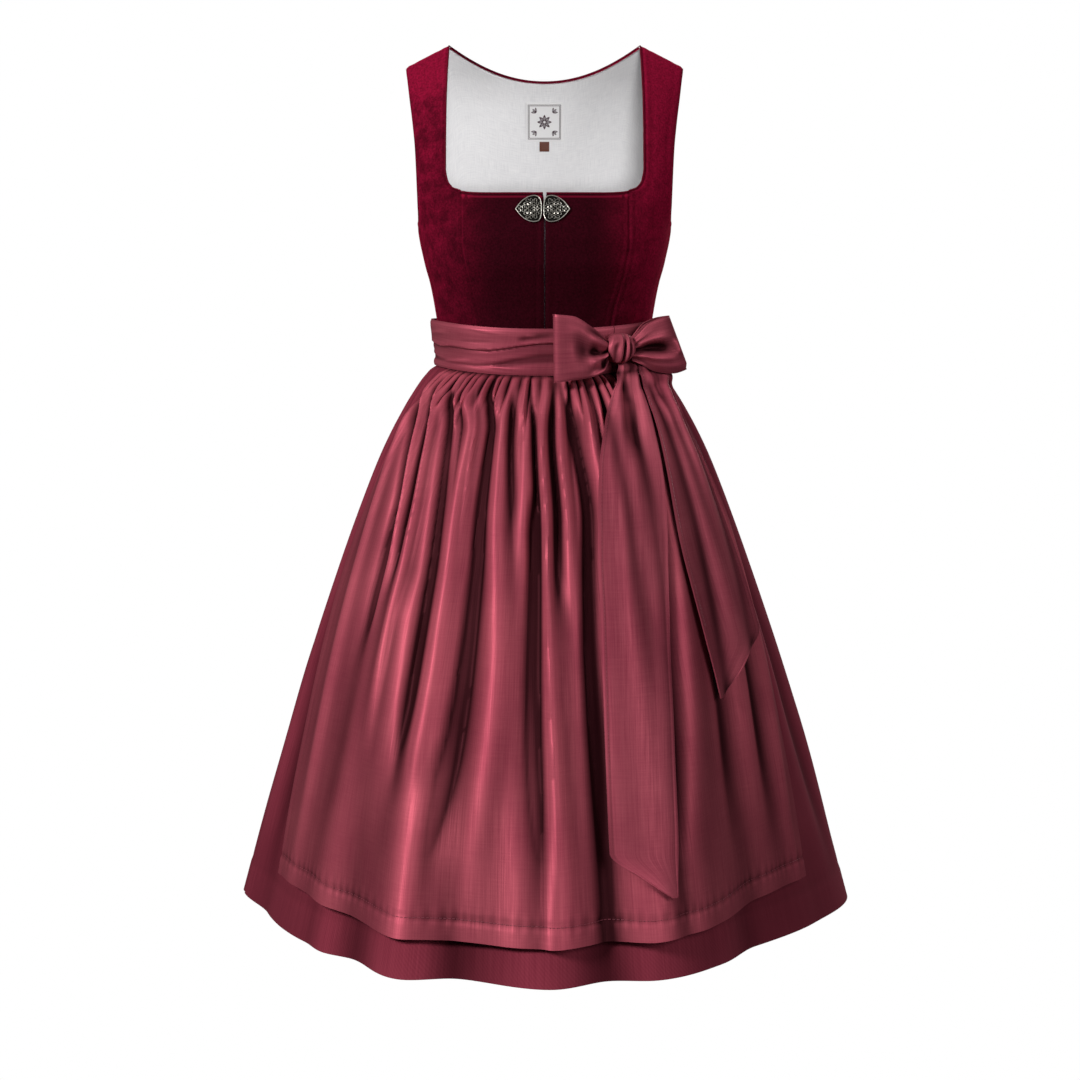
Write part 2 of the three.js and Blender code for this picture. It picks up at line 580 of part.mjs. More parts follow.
// Apron. Its folds are ridges and troughs that run from the gathers towards the hem. Places are angles
// near the waist, at half height and near the hem; width is in degrees and rise in millimetres, negative
// in a trough; from and to are the part of the height where the fold shows.
const apronFolds = [
  { high: -55, middle: -66, low: -63, width: 3.2, rise: 7, from: 0, to: 1.2 },
  { high: -50, middle: -52, low: -52, width: 3, rise: -7, from: 0, to: 0.75 },
  { high: -44, middle: -40, low: -36, width: 4.2, rise: 10, from: 0, to: 0.95 },
  { high: -37, middle: -33.5, low: -31, width: 2.8, rise: -9, from: 0, to: 0.72 },
  { high: -28.5, middle: -26.5, low: -27, width: 3.6, rise: 10, from: 0, to: 0.85 },
  { high: -19.5, middle: -19.5, low: -22, width: 2.6, rise: -11, from: 0, to: 1.05 },
  { high: -13.5, middle: -11.5, low: -15, width: 4.2, rise: 12, from: 0, to: 1.3 },
  { high: -6, middle: -5.5, low: -7, width: 2.6, rise: 7, from: 0, to: 0.7 },
  { high: -2.5, middle: -2, low: -0.5, width: 1.7, rise: -14, from: 0, to: 1 },
  { high: 0.6, middle: 0.6, low: 5.5, width: 2.6, rise: 11, from: 0, to: 1.1 },
  { high: 3.2, middle: 3.4, low: 3, width: 1.5, rise: -7, from: 0, to: 0.5 },
  { high: 5.5, middle: 7, low: 7.5, width: 2.4, rise: 8, from: 0, to: 0.6 },
  { high: 10.5, middle: 11, low: 12, width: 2.6, rise: -11, from: 0, to: 1 },
  { high: 18, middle: 20, low: 18, width: 4.5, rise: 6, from: 0, to: 1.2 },
  { high: 27, middle: 27.5, low: 23, width: 2.4, rise: -9, from: 0, to: 0.95 },
  { high: 33, middle: 32, low: 27, width: 3.2, rise: 8, from: 0.05, to: 1.1 },
  { high: 38.5, middle: 38.5, low: 37, width: 3, rise: -8, from: 0, to: 0.9 },
  { high: 46, middle: 49, low: 47, width: 5, rise: 6, from: 0, to: 1.1 },
  { high: 55, middle: 58, low: 57, width: 3, rise: -5, from: 0.1, to: 0.8 },
  { high: 59, middle: 64, low: 62, width: 3, rise: 5, from: 0, to: 1.2 },
];
const foldPath = (fold, t) => {
  const track = [
    { t: 0.05, angle: fold.high },
    { t: 0.45, angle: fold.middle },
    { t: 0.85, angle: fold.low },
  ];
  return readTable(track, 't', t, 'angle');
};
const APRON_BASE = 13;
const APRON_GATHERS = 28;
function apronEdge(side, t) {
  const track = [
    { t: 0, left: 58, right: 57 },
    { t: 0.12, left: 63, right: 61 },
    { t: 0.4, left: 69, right: 66 },
    { t: 0.7, left: 68, right: 65 },
    { t: 1, left: 64, right: 62 },
  ];
  return side < 0 ? -readTable(track, 't', t, 'left') : readTable(track, 't', t, 'right');
}
function apronOffset(angle, t) {
  const lifted = smooth(t / 0.09);
  const body = mix(APRON_CLOTH + 0.5, APRON_BASE, lifted);
  const folds = apronFolds.reduce((sum, fold) => {
    const shown = smooth((t - fold.from) / 0.1) * (1 - smooth((t - fold.to + 0.25) / 0.25));
    const width = fold.width * mix(0.75, 1.15, t);
    return sum + fold.rise * shown * ridge(angle - foldPath(fold, t), width);
  }, 0);
  const softened = 1 - 0.35 * smooth((t - 0.6) / 0.4);
  const pitch = (apronEdge(1, t) - apronEdge(-1, t)) / APRON_GATHERS;
  const small = 0.8 * gather(angle, t, pitch, GATHER_RISE, 0.22);
  const least = APRON_CLOTH + mix(0.5, APRON_GAP, lifted);
  const tuck = 1.2 * smooth(t / 0.01);
  return hemWave(angle, t) + Math.max(least, body + tuck + folds * softened + small);
}
const APRON_HEM = 0.934;
const APRON_HEM_RISE = 0.028;
const apronHemAt = (angle) => APRON_HEM - APRON_HEM_RISE * smooth((Math.abs(angle) - 15) / 50);
const apronUpper = [0, 0.01, 0.026, 0.055, 0.11];
const apronLower = [0.19, 0.3, 0.43, 0.57, 0.72, 0.86, 0.962, 0.965, 1];
const HEM_STITCH = 0.963;
function apronPair(share, across) {
  const angleAt = (t) => mix(apronEdge(-1, t), apronEdge(1, t), across);
  const t = share * apronHemAt(angleAt(share));
  const angle = angleAt(t);
  const doubled = share > HEM_STITCH ? HEM_EXTRA : 0;
  const offset = apronOffset(angle, t);
  const pair = skirtPair(angle, t, offset + doubled, APRON_CLOTH + doubled);
  const drop = share === 0 ? SEAM_GAP / 2 : 0;
  pair.outer.z -= drop;
  pair.inner.z -= drop;
  return pair;
}
addWall(
  'apron',
  [
    ...apronUpper.map((t) => spread(4 * APRON_GATHERS, 0, 1).map((across) => apronPair(t, across))),
    ...apronLower.map((t) => spread(2 * APRON_GATHERS, 0, 1).map((across) => apronPair(t, across))),
  ],
  material.satin,
);

// Waist. The torso's section at a height, by angle, so that band and sash follow one line round the body.
function waistPair(angle, z, offset, thickness) {
  const turn = radians(angle);
  const [s, c] = [Math.sin(turn), Math.cos(turn)];
  const a = torsoHalfWidth(z);
  const b = readTable(torsoSections, 'z', z, c > 0 ? 'front' : 'back');
  const x = a * signedPower(s, 2 / ROUNDNESS);
  const y = -b * signedPower(c, 2 / ROUNDNESS);
  const out = new THREE.Vector3(
    Math.sign(x) * (Math.abs(x) / a) ** (ROUNDNESS - 1) / a,
    Math.sign(y) * (Math.abs(y) / b) ** (ROUNDNESS - 1) / b,
    0,
  ).normalize();
  const outer = new THREE.Vector3(x, y, z).addScaledVector(out, offset);
  return { outer, inner: outer.clone().addScaledVector(out, -thickness) };
}
const dipAt = (angle) => WAIST_FRONT_DIP * Math.max(0, Math.cos(radians(angle))) ** 2;
const BAND_OFFSET = 2.5;
const BAND_HEIGHT = 28;
addWall(
  'apron_band',
  spread(2, 0, 1).map((share) =>
    spread(20, apronEdge(-1, 0), apronEdge(1, 0)).map((angle) => {
      const bottom = WAIST_Z - dipAt(angle) + SEAM_GAP;
      return waistPair(angle, mix(bottom, bottom + BAND_HEIGHT, share), BAND_OFFSET, BAND_CLOTH);
    }),
  ),
  material.satin,
);

// Sash: the apron's ties wrapped over the band. Rows run from the lower edge up, with soft lengthwise
// folds. At the back the right wrap lies over the left one and ends in a slanting edge.
const sashFolds = [
  { share: 0, offset: 5 },
  { share: 0.18, offset: 6.6 },
  { share: 0.4, offset: 5.2 },
  { share: 0.47, offset: 6.9 },
  { share: 0.75, offset: 6.2 },
  { share: 1, offset: 5 },
];
const SASH_CLEARANCE = BAND_OFFSET + SEAM_GAP + SASH_CLOTH;
const SASH_SEAM_ANGLE = 33;
const SASH_BOTTOM_DROP = 0.6;
function sashRow(share, offset, from, to, slant, count, lift) {
  return spread(count, from, to + slant * (share - 0.5)).map((angle) => {
    const bottom = WAIST_Z - dipAt(angle) - SASH_BOTTOM_DROP;
    const raised = Math.max(offset, SASH_CLEARANCE) + lift(angle);
    return waistPair(angle, bottom + share * SASH_HEIGHT, raised, SASH_CLOTH);
  });
}
const BACK_OVERLAP = 16;
const overAtBack = (angle) => 2.6 * smooth((-angle - 180 + BACK_OVERLAP + 16) / 12);
addWall(
  'sash_right',
  sashFolds.map((row) => sashRow(row.share, row.offset, SASH_SEAM_ANGLE - 0.2, -190, 16, 32, overAtBack)),
  material.satin,
);
addWall(
  'sash_left',
  sashFolds.map((row) => sashRow(row.share, row.offset, SASH_SEAM_ANGLE + 0.2, 188, 0, 22, () => 0)),
  material.satin,
);

// Bow. The knot sits on the sash; its axes are the outward direction there and the tangent to the left.
const KNOT_ANGLE = 33;
const KNOT_Z = -332;
const KNOT_HALF = { across: 16.5, up: 21, out: 12 };
const sashThere = waistPair(KNOT_ANGLE, KNOT_Z, 7.2, 1);
const knotOut = sashThere.outer.clone().sub(sashThere.inner).normalize();
const knotAcross = new THREE.Vector3(-knotOut.y, knotOut.x, 0);
const knotCentre = sashThere.outer.clone().addScaledVector(knotOut, KNOT_HALF.out + SEAM_GAP);
function addKnot() {
  const ball = new THREE.SphereGeometry(1, 16, 10);
  const place = ball.getAttribute('position');
  for (let i = 0; i < place.count; i += 1) {
    const [u, v, w] = [place.getX(i), place.getY(i), place.getZ(i)];
    const [su, sv, sw] = [signedPower(u, 0.72), signedPower(v, 0.72), signedPower(w, 0.72)];
    const groove = 1 - 0.1 * Math.cos(9 * su + 2.5 * sv) * Math.max(0, sw);
    const p = knotCentre
      .clone()
      .addScaledVector(knotAcross, KNOT_HALF.across * su * (1 - 0.12 * sv))
      .addScaledVector(knotOut, KNOT_HALF.out * Math.min(1, sw * groove));
    place.setXYZ(i, p.x, p.y, p.z + KNOT_HALF.up * sv);
  }
  ball.deleteAttribute('normal');
  ball.deleteAttribute('uv');
  const mesh = new THREE.Mesh(ball, material.satin);
  mesh.name = 'bow_knot';
  dirndl.add(mesh);
}
addKnot();

// Loops: a tie folded back on itself. p runs from the knot to the loop's far fold; reach is how far the
// fold lies at the top and bottom edge; edge heights are above the knot's centre.
const loops = {
  bow_loop_right: {
    side: -1,
    turn: -2,
    reach: { top: 61, bottom: 60 },
    belly: 12,
    edges: [
      { p: 0, top: 13, bottom: -9 },
      { p: 0.12, top: 19, bottom: -19 },
      { p: 0.35, top: 28, bottom: -24 },
      { p: 0.7, top: 39, bottom: -27 },
      { p: 1, top: 41, bottom: -31 },
    ],
  },
  bow_loop_left: {
    side: 1,
    turn: 6,
    reach: { top: 42, bottom: 66 },
    belly: 12,
    edges: [
      { p: 0, top: 13, bottom: -9 },
      { p: 0.15, top: 20, bottom: -12 },
      { p: 0.4, top: 31, bottom: -19 },
      { p: 0.75, top: 37, bottom: -22 },
      { p: 1, top: 39, bottom: -19 },
    ],
  },
};
const LOOP_MOUTH = 0.13;
const LOOP_START = Math.sin(LOOP_MOUTH) ** 0.85;
const LOOP_STEPS = 18;
const LOOP_ROWS = 5;
function addLoop(name, loop) {
  const turn = radians(loop.turn * -loop.side);
  const upright = new THREE.Vector3(0, 0, 1);
  const along = knotAcross.clone().multiplyScalar(loop.side).applyAxisAngle(upright, turn);
  const out = knotOut.clone().applyAxisAngle(upright, turn);
  const root = knotCentre.clone().addScaledVector(knotAcross, loop.side * (KNOT_HALF.across + 0.8));
  const place = (step, height, inset) => {
    const angle = mix(LOOP_MOUTH, Math.PI - LOOP_MOUTH, step);
    const p = (Math.sin(angle) ** 0.85 - LOOP_START) / (1 - LOOP_START);
    const top = readTable(loop.edges, 'p', p, 'top');
    const bottom = readTable(loop.edges, 'p', p, 'bottom');
    const reach = mix(loop.reach.bottom, loop.reach.top, height);
    const pucker = 2.2 * (1 - p) * Math.cos(2 * Math.PI * 2.5 * height);
    const depth = Math.cos(angle) * (loop.belly * Math.max(0, p) ** 0.7 + 2 - inset) + pucker;
    return root
      .clone()
      .addScaledVector(along, (reach - inset) * p)
      .addScaledVector(out, depth)
      .add(new THREE.Vector3(0, 0, mix(bottom, top, height)));
  };
  const rows = spread(LOOP_ROWS, 0, 1).map((height) =>
    spread(LOOP_STEPS, 0, 1).map((step) => ({
      outer: place(step, height, 0),
      inner: place(step, height, TIE_CLOTH),
    })),
  );
  addWall(name, rows, material.satin);
}
Object.entries(loops).forEach(([name, loop]) => addLoop(name, loop));

// Tails of the tie, which hang from the knot over the apron. Each row gives the angles of the two edges.
const tails = {
  tie_tail_right: [
    { t: 0.002, left: 26, right: 33.4 },
    { t: 0.03, left: 22.5, right: 36.6 },
    { t: 0.08, left: 18.5, right: 37.4 },
    { t: 0.16, left: 14.6, right: 36.2 },
    { t: 0.27, left: 13.4, right: 34 },
    { t: 0.4, left: 12.9, right: 30.8 },
    { t: 0.52, left: 12.2, right: 28 },
    { t: 0.66, left: 11.6, right: 25.2 },
    { t: 0.79, left: 11.3, right: 23.4 },
    { t: 0.827, left: 16.1, right: 22.8 },
    { t: 0.864, left: 21.2, right: 22.3 },
  ],
  tie_tail_left: [
    { t: 0.004, left: 34.4, right: 45 },
    { t: 0.03, left: 37.6, right: 51 },
    { t: 0.08, left: 38.6, right: 56 },
    { t: 0.16, left: 37.8, right: 58 },
    { t: 0.27, left: 37.2, right: 60 },
    { t: 0.36, left: 38.2, right: 61 },
    { t: 0.46, left: 39.9, right: 61.4 },
    { t: 0.513, left: 41.1, right: 52.2 },
    { t: 0.565, left: 42.2, right: 43.4 },
  ],
};
const TAIL_CLEARANCE = 1.2;
const COVER_REACH = 5;
const apronCover = (angle, t) =>
  Math.max(...spread(8, angle - COVER_REACH, angle + COVER_REACH).map((near) => apronOffset(near, t)));
function addTail(name, table) {
  const heights = table.flatMap((row, i) => (i ? [mix(table[i - 1].t, row.t, 0.5), row.t] : [row.t]));
  const rows = heights.map((t) => {
    const edges = ['left', 'right'].map((side) => readTable(table, 't', t, side));
    return spread(6, ...edges).map((angle) => {
      const belowSash = 6.2 * (1 - smooth(t / 0.03));
      const offset = Math.max(apronCover(angle, t), apronCover(angle, t + 0.02), 2) + belowSash;
      return skirtPair(angle, t, offset + TAIL_CLEARANCE + TIE_CLOTH, TIE_CLOTH);
    });
  });
  addWall(name, rows, material.satin);
}
Object.entries(tails).forEach(([name, table]) => addTail(name, table));

export default dirndl;
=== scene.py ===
import math

import bpy
import numpy as np
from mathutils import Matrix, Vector


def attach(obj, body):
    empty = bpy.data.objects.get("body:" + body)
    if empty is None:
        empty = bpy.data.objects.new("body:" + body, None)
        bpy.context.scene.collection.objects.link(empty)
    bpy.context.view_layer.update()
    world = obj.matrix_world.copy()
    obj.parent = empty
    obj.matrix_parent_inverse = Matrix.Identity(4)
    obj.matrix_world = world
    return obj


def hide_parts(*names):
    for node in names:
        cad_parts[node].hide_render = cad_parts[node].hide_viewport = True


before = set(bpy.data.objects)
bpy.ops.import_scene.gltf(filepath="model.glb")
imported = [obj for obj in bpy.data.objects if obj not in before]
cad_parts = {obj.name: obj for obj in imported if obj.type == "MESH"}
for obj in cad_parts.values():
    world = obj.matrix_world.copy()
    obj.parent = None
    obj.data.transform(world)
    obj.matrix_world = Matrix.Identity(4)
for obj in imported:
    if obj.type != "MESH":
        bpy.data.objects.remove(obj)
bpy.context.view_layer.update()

# Studio. A camera 2.6 m in front of the dress looks 6.3 degrees down on it. A soft light stands high at the
# left and rakes across the folds, weak ones fill from the right, the back and above, and a spot light
# reaches in at the neckline. The pale floor ends in a white room.
CAMERA_PLACE = (-0.005, -2.6, -0.257)
CAMERA_DOWN = 6.3
CAMERA_LENS = 78
CAMERA_SENSOR = 36
LIGHTS_AIM = Vector((0, 0, -0.5))
FLOOR_Z = -1.5
FLOOR_RADIUS = 0.8
AMBIENT = 0.07
SPOT_PLACE = Vector((0.15, -2.7, -0.2))
NECK_AIM = Vector((0, 0.09, -0.09))


def linear(hex_colour):
    """An sRGB colour such as "#8a2f3f" as linear red, green, blue and alpha."""
    parts = [int(hex_colour[i:i + 2], 16) / 255 for i in (1, 3, 5)]
    return tuple(p / 12.92 if p <= 0.04045 else ((p + 0.055) / 1.055) ** 2.4 for p in parts) + (1,)


def add_node(tree, kind, inputs=None, **settings):
    """Adds a node. inputs gives each socket a value, a node whose first output in use it is linked to, or
    a (node, output). In a Mix node of colours socket 0 is the share, and 6 and 7 are the colours."""
    made = tree.nodes.new("ShaderNode" + kind)
    for name, value in settings.items():
        setattr(made, name, value)
    for socket, value in (inputs or {}).items():
        if isinstance(value, bpy.types.Node):
            value = (value, next(i for i, output in enumerate(value.outputs) if output.enabled))
        if isinstance(value, tuple) and isinstance(value[0], bpy.types.Node):
            tree.links.new(value[0].outputs[value[1]], made.inputs[socket])
        else:
            made.inputs[socket].default_value = value
    return made


def new_material(name):
    """An empty material, with its node tree and its coordinates."""
    look = bpy.data.materials.new(name)
    look.use_nodes = True
    look.node_tree.nodes.clear()
    return look, look.node_tree, add_node(look.node_tree, "TexCoord")


def finished(tree, surface):
    """Ends a material with its shader, which gets these inputs, and its output."""
    shader = add_node(tree, "BsdfPrincipled", surface)
    add_node(tree, "OutputMaterial", {"Surface": shader})


def two_tone(name, kind, drawn, dark, light, surface, raised=0.0, read_from="Object", **settings):
    """A whole material with one pattern, which runs from a dark to a light tone. raised is the strength
    of its bump, 0.2 mm high."""
    look, tree, where = new_material(name)
    pattern = add_node(tree, kind, {"Vector": (where, read_from), **drawn}, **settings)
    colours = {0: (pattern, "Fac"), 6: linear(dark), 7: linear(light)}
    surface = {"Base Color": add_node(tree, "Mix", colours, data_type="RGBA"), **surface}
    if raised:
        height = {"Strength": raised, "Distance": 0.0002, "Height": (pattern, "Fac")}
        surface["Normal"] = add_node(tree, "Bump", height)
    finished(tree, surface)
    return look


def soft_light(name, place, size, power):
    """A square soft box that is aimed at the middle of the dress."""
    aim = (LIGHTS_AIM - Vector(place)).to_track_quat("-Z", "Y").to_euler()
    bpy.ops.object.light_add(type="AREA", location=place, rotation=aim)
    light = bpy.context.object
    light.name = name
    light.data.size = size
    light.data.energy = power
    return light


def lights_only(light, name, state, pieces):
    """The light falls only on these pieces, or, where state is EXCLUDE, on all but these."""
    lit = bpy.data.collections.new(name)
    light.light_linking.receiver_collection = lit
    for piece in pieces:
        lit.objects.link(piece)
    for entry in lit.collection_objects:
        entry.light_linking.link_state = state


bpy.ops.object.camera_add(location=CAMERA_PLACE, rotation=(math.radians(90 - CAMERA_DOWN), 0, 0))
camera = bpy.context.object
camera.data.lens = CAMERA_LENS
camera.data.sensor_width = CAMERA_SENSOR
bpy.context.scene.camera = camera
bpy.context.scene.view_settings.view_transform = "Standard"

key = soft_light("key light", (-2.25, -2.3, 1.0), 0.8, 130)
soft_light("fill light", (2.4, -2.6, 0.7), 2.0, 52)
soft_light("back light", (1.4, 3.0, 1.4), 2.2, 70)
soft_light("top light", (0, -0.3, 2.6), 1.6, 12)
spot_turn = (NECK_AIM - SPOT_PLACE).to_track_quat("-Z", "Y").to_euler()
bpy.ops.object.light_add(type="SPOT", location=SPOT_PLACE, rotation=spot_turn)
spot = bpy.context.object
spot.name = "neckline light"
spot.data.energy = 250
spot.data.spot_size = math.radians(14)
spot.data.spot_blend = 1.0
spot.data.shadow_soft_size = 0.3

world = bpy.data.worlds.new("white room")
world.use_nodes = True
world.node_tree.nodes.clear()
bpy.context.scene.world = world
white = linear("#ffffff")
seen_room = add_node(world.node_tree, "Background", {"Color": white, "Strength": 1.0})
lighting_room = add_node(world.node_tree, "Background", {"Color": white, "Strength": AMBIENT})
ray = add_node(world.node_tree, "LightPath")
rooms = {0: (ray, "Is Camera Ray"), 1: lighting_room, 2: seen_room}
room = add_node(world.node_tree, "MixShader", rooms)
add_node(world.node_tree, "OutputWorld", {"Surface": room})

# painted floor: matt, off-white, with faint marks of the roller
floor_paint = two_tone(
    "matt white floor paint", "TexNoise", {"Scale": 9, "Detail": 3}, "#e0e0e0", "#e8e8e8", {"Roughness": 0.9}
)
floor_place = (0, 0, FLOOR_Z)
bpy.ops.mesh.primitive_circle_add(vertices=96, radius=FLOOR_RADIUS, fill_type="NGON", location=floor_place)
floor = bpy.context.object
floor.name = "floor"
floor.data.materials.append(floor_paint)

# Velvet bodice, front. Two centre panels meet at the hidden zip, and the princess seams join them to the
# side fronts, which go on up as the straps. Cotton velvet, each edge turned in, lined with pale cotton.
MM = 0.001
SEAM_GAP = 0.02
VELVET = 2.0
NECK_HALF_WIDTH = 105
SHOULDER_HALF_WIDTH = 152
SHOULDER_FALL = 24
FRONT_NECK_Z = -164
UNDERARM_Z = -192
WAIST_Z = -347
WAIST_FRONT_DIP = 9
ROUNDNESS = 2.4
# the share of the half width, counted from the side seam, that already counts as the seam itself
AT_SEAM = 0.0006
SMOOTH_ANGLE = math.radians(40)
# how the cloth is evened out to find its relief: passes across, passes along, and rows taken along
EDGE_PASSES = (6, 5, 7)
FOLD_PASSES = (40, 40, 1000)


def mix(a, b, share):
    return a + (b - a) * share


def smooth(share):
    s = np.clip(share, 0, 1)
    return s * s * (3 - 2 * s)


def bump_at(distance, width):
    return np.exp(-((distance / width) ** 2))


def crowded(share, much=0.5):
    """Moves evenly spaced shares towards 0 and 1, so that a panel's edges get the finer grid."""
    return mix(share, (1 - np.cos(math.pi * share)) / 2, much)


def columns(names, rows):
    """A table with named columns, from its rows."""
    return dict(zip(names.split(), np.array(rows, float).T))


def read(table, key, at, column):
    """Reads a column of a table at places between its rows, on a smooth curve that never overshoots."""
    keys, values = table[key], table[column]
    at = np.clip(at, keys[0], keys[-1])
    steps = np.diff(keys)
    slopes = np.diff(values) / steps
    before, after = slopes[:-1], slopes[1:]
    total = np.where(before + after == 0, 1, before + after)
    inner = np.where(before * after > 0, 2 * before * after / total, 0)
    tangents = np.concatenate([slopes[:1], inner, slopes[-1:]])
    i = np.clip(np.searchsorted(keys, at) - 1, 0, len(keys) - 2)
    s = (at - keys[i]) / steps[i]
    return (
        values[i] * (1 + 2 * s) * (1 - s) ** 2
        + tangents[i] * steps[i] * s * (1 - s) ** 2
        + values[i + 1] * s * s * (3 - 2 * s)
        + tangents[i + 1] * steps[i] * s * s * (s - 1)
    )


def creases(lines, a, b):
    """Height of soft ridges, or troughs where rise is negative, along lines in the cloth's own sizes."""
    total = np.zeros(np.broadcast(a, b).shape)
    for from_a, from_b, to_a, to_b, width, rise in lines:
        run_a, run_b = to_a - from_a, to_b - from_b
        length = math.hypot(run_a, run_b)
        along = ((a - from_a) * run_a + (b - from_b) * run_b) / length**2
        aside = ((a - from_a) * run_b - (b - from_b) * run_a) / length
        shown = smooth(along * 3 + 0.7) * smooth((1.2 - along) / 0.7)
        total += rise * shown * bump_at(aside, width * mix(0.8, 1.3, np.clip(along, 0, 1)))
    return total


def relief(placed, across, along, passes):
    """How far each point of a grid stands out from the cloth round it, in millimetres: more than 0 on a
    ridge, less than 0 in a valley. passes gives how often the cloth is evened out across and along, and
    in how many rows, counted from the top, it is evened out along."""
    grid = placed.reshape(along + 1, across + 1, 3)
    even = grid.copy()
    for _ in range(passes[0]):
        even[:, 1:-1] = (even[:, :-2] + 2 * even[:, 1:-1] + even[:, 2:]) / 4
    first = max(1, along - passes[2])
    for _ in range(passes[1]):
        even[first:-1] = (even[first - 1:-2] + 2 * even[first:-1] + even[first + 1:]) / 4
    normal = np.cross(np.gradient(even, axis=1), np.gradient(even, axis=0))
    normal /= np.maximum(np.linalg.norm(normal, axis=2, keepdims=True), 1e-9)
    return np.sum((grid - even) * normal, axis=2).ravel()


def cloth(name, across, along, place, flat, thickness, outside, inside=None, turned=False, deepen=None):
    """A panel: a fine grid moved by place(u, v), which gives millimetres, and thickened inwards. Its UV map
    is in metres of the flat cloth; turned puts the warp along u instead of v. Its attribute relief tells
    the materials where the folds are, for painted shade in the valleys and painted highlight on the ridges;
    deepen(v, relief) may make that painted shade stronger where folds lie tight."""
    bpy.ops.object.select_all(action="DESELECT")
    bpy.ops.mesh.primitive_grid_add(x_subdivisions=across, y_subdivisions=along, size=2)
    panel = bpy.context.object
    panel.name = name
    mesh = panel.data
    points = np.empty(len(mesh.vertices) * 3)
    mesh.vertices.foreach_get("co", points)
    u, v = (points.reshape(-1, 3)[:, :2].T + 1) / 2
    placed = np.column_stack(np.broadcast_arrays(*place(u, v)))
    mesh.vertices.foreach_set("co", (placed * MM).ravel())
    folded = mesh.attributes.new("relief", "FLOAT", "POINT")
    passes = EDGE_PASSES if outside is velvet else FOLD_PASSES
    standing = relief(placed, across, along, passes)
    folded.data.foreach_set("value", deepen(v, standing) if deepen else standing)
    layer = mesh.uv_layers[0].data
    uv = np.empty(len(layer) * 2)
    layer.foreach_get("uv", uv)
    uv = uv.reshape(-1, 2) * flat
    if turned:
        uv = uv[:, ::-1]
    layer.foreach_set("uv", uv.ravel())
    mesh.materials.append(outside)
    if inside:
        mesh.materials.append(inside)
    wall = panel.modifiers.new("thickness", "SOLIDIFY")
    wall.thickness = thickness * MM
    wall.offset = -1
    wall.material_offset = 1 if inside else 0
    bpy.ops.object.modifier_apply(modifier=wall.name)
    bpy.ops.object.shade_smooth_by_angle(angle=SMOOTH_ANGLE)
    return panel


def stands_for(piece, slot, *nodes):
    """The piece is shown in place of these nodes of the frame."""
    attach(piece, "root")
    if nodes:
        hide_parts(*nodes)
    return piece


# cotton velvet: its pile drinks light where it faces the eye, and the shader's own sheen glows crimson where
# it turns away; besides, painted sheen makes its colour lighter crimson towards the sides, towards the top
# and more on the wearer's left, in patches 14 mm wide where hands have brushed it, and a painted highlight
# makes it bright crimson on the ridges along seams and edges; its tufts are drawn 2 mm wide so that they
# show
velvet, tree, where = new_material("wine red cotton velvet")
on_piece = (where, "Object")
brushed = add_node(tree, "TexNoise", {"Vector": on_piece, "Scale": 70, "Detail": 5, "Roughness": 0.65})
tufts = add_node(tree, "TexNoise", {"Vector": on_piece, "Scale": 480, "Detail": 4, "Roughness": 0.7})
apart = add_node(tree, "SeparateXYZ", {0: on_piece})
aside = add_node(tree, "Math", {0: (apart, "X")}, operation="ABSOLUTE")
# painted sheen: shares of lighter crimson set by place on the body, towards the sides, towards the top and
# on the wearer's left
painted_sheen_masks = []
for place, nearest, farthest, most in [
    (aside, 0.045, 0.15, 0.62),
    ((apart, "Z"), -0.085, -0.015, 0.8),
    ((apart, "X"), 0.05, 0.15, 0.64),
]:
    reach = {"Value": place, "From Min": nearest, "From Max": farthest, "To Max": most}
    painted_sheen_masks.append(add_node(tree, "MapRange", reach, interpolation_type="SMOOTHSTEP"))
sheen_to_side, sheen_to_top, sheen_to_left = painted_sheen_masks
patchy = add_node(
    tree, "MapRange", {"Value": brushed, "From Min": 0.38, "From Max": 0.66, "To Min": -0.45, "To Max": 0.6}
)
# the brushed patches vary the painted sheen, and only show at the sides
patches = add_node(tree, "Math", {0: patchy, 1: sheen_to_side}, operation="MULTIPLY")
lift = add_node(tree, "Math", {0: sheen_to_side, 1: patches}, operation="ADD")
lift = add_node(tree, "Math", {0: lift, 1: sheen_to_top}, operation="ADD")
lift = add_node(tree, "Math", {0: lift, 1: sheen_to_left}, operation="ADD", use_clamp=True)
# the pile's own dark wine, painted lighter crimson as sheen by these shares
pile = add_node(tree, "Mix", {0: lift, 6: linear("#2a030c"), 7: linear("#760b28")}, data_type="RGBA")
speckle = add_node(
    tree, "MapRange", {"Value": tufts, "From Min": 0.32, "From Max": 0.68, "To Min": 0.55, "To Max": 1.4}
)
pile = add_node(tree, "Mix", {0: 1.0, 6: pile, 7: speckle}, data_type="RGBA", blend_type="MULTIPLY")
# painted highlight: bright crimson where the cloth stands out, on the ridges of seams and turned edges
folded = add_node(tree, "Attribute", attribute_name="relief")
opened = add_node(
    tree, "MapRange", {"Value": (folded, "Fac"), "From Min": 0.12, "From Max": 0.32, "To Max": 0.6}
)
pile = add_node(tree, "Mix", {0: opened, 6: pile, 7: linear("#8f1233")}, data_type="RGBA")
pile_bump = add_node(tree, "Bump", {"Strength": 0.35, "Distance": 0.0005, "Height": tufts})
velvet_surface = {
    "Base Color": pile,
    "Roughness": 0.95,
    "Specular IOR Level": 0.03,
    "Sheen Weight": 0.5,
    "Sheen Roughness": 0.3,
    "Sheen Tint": linear("#c0183f"),
    "Normal": pile_bump,
}
finished(tree, velvet_surface)

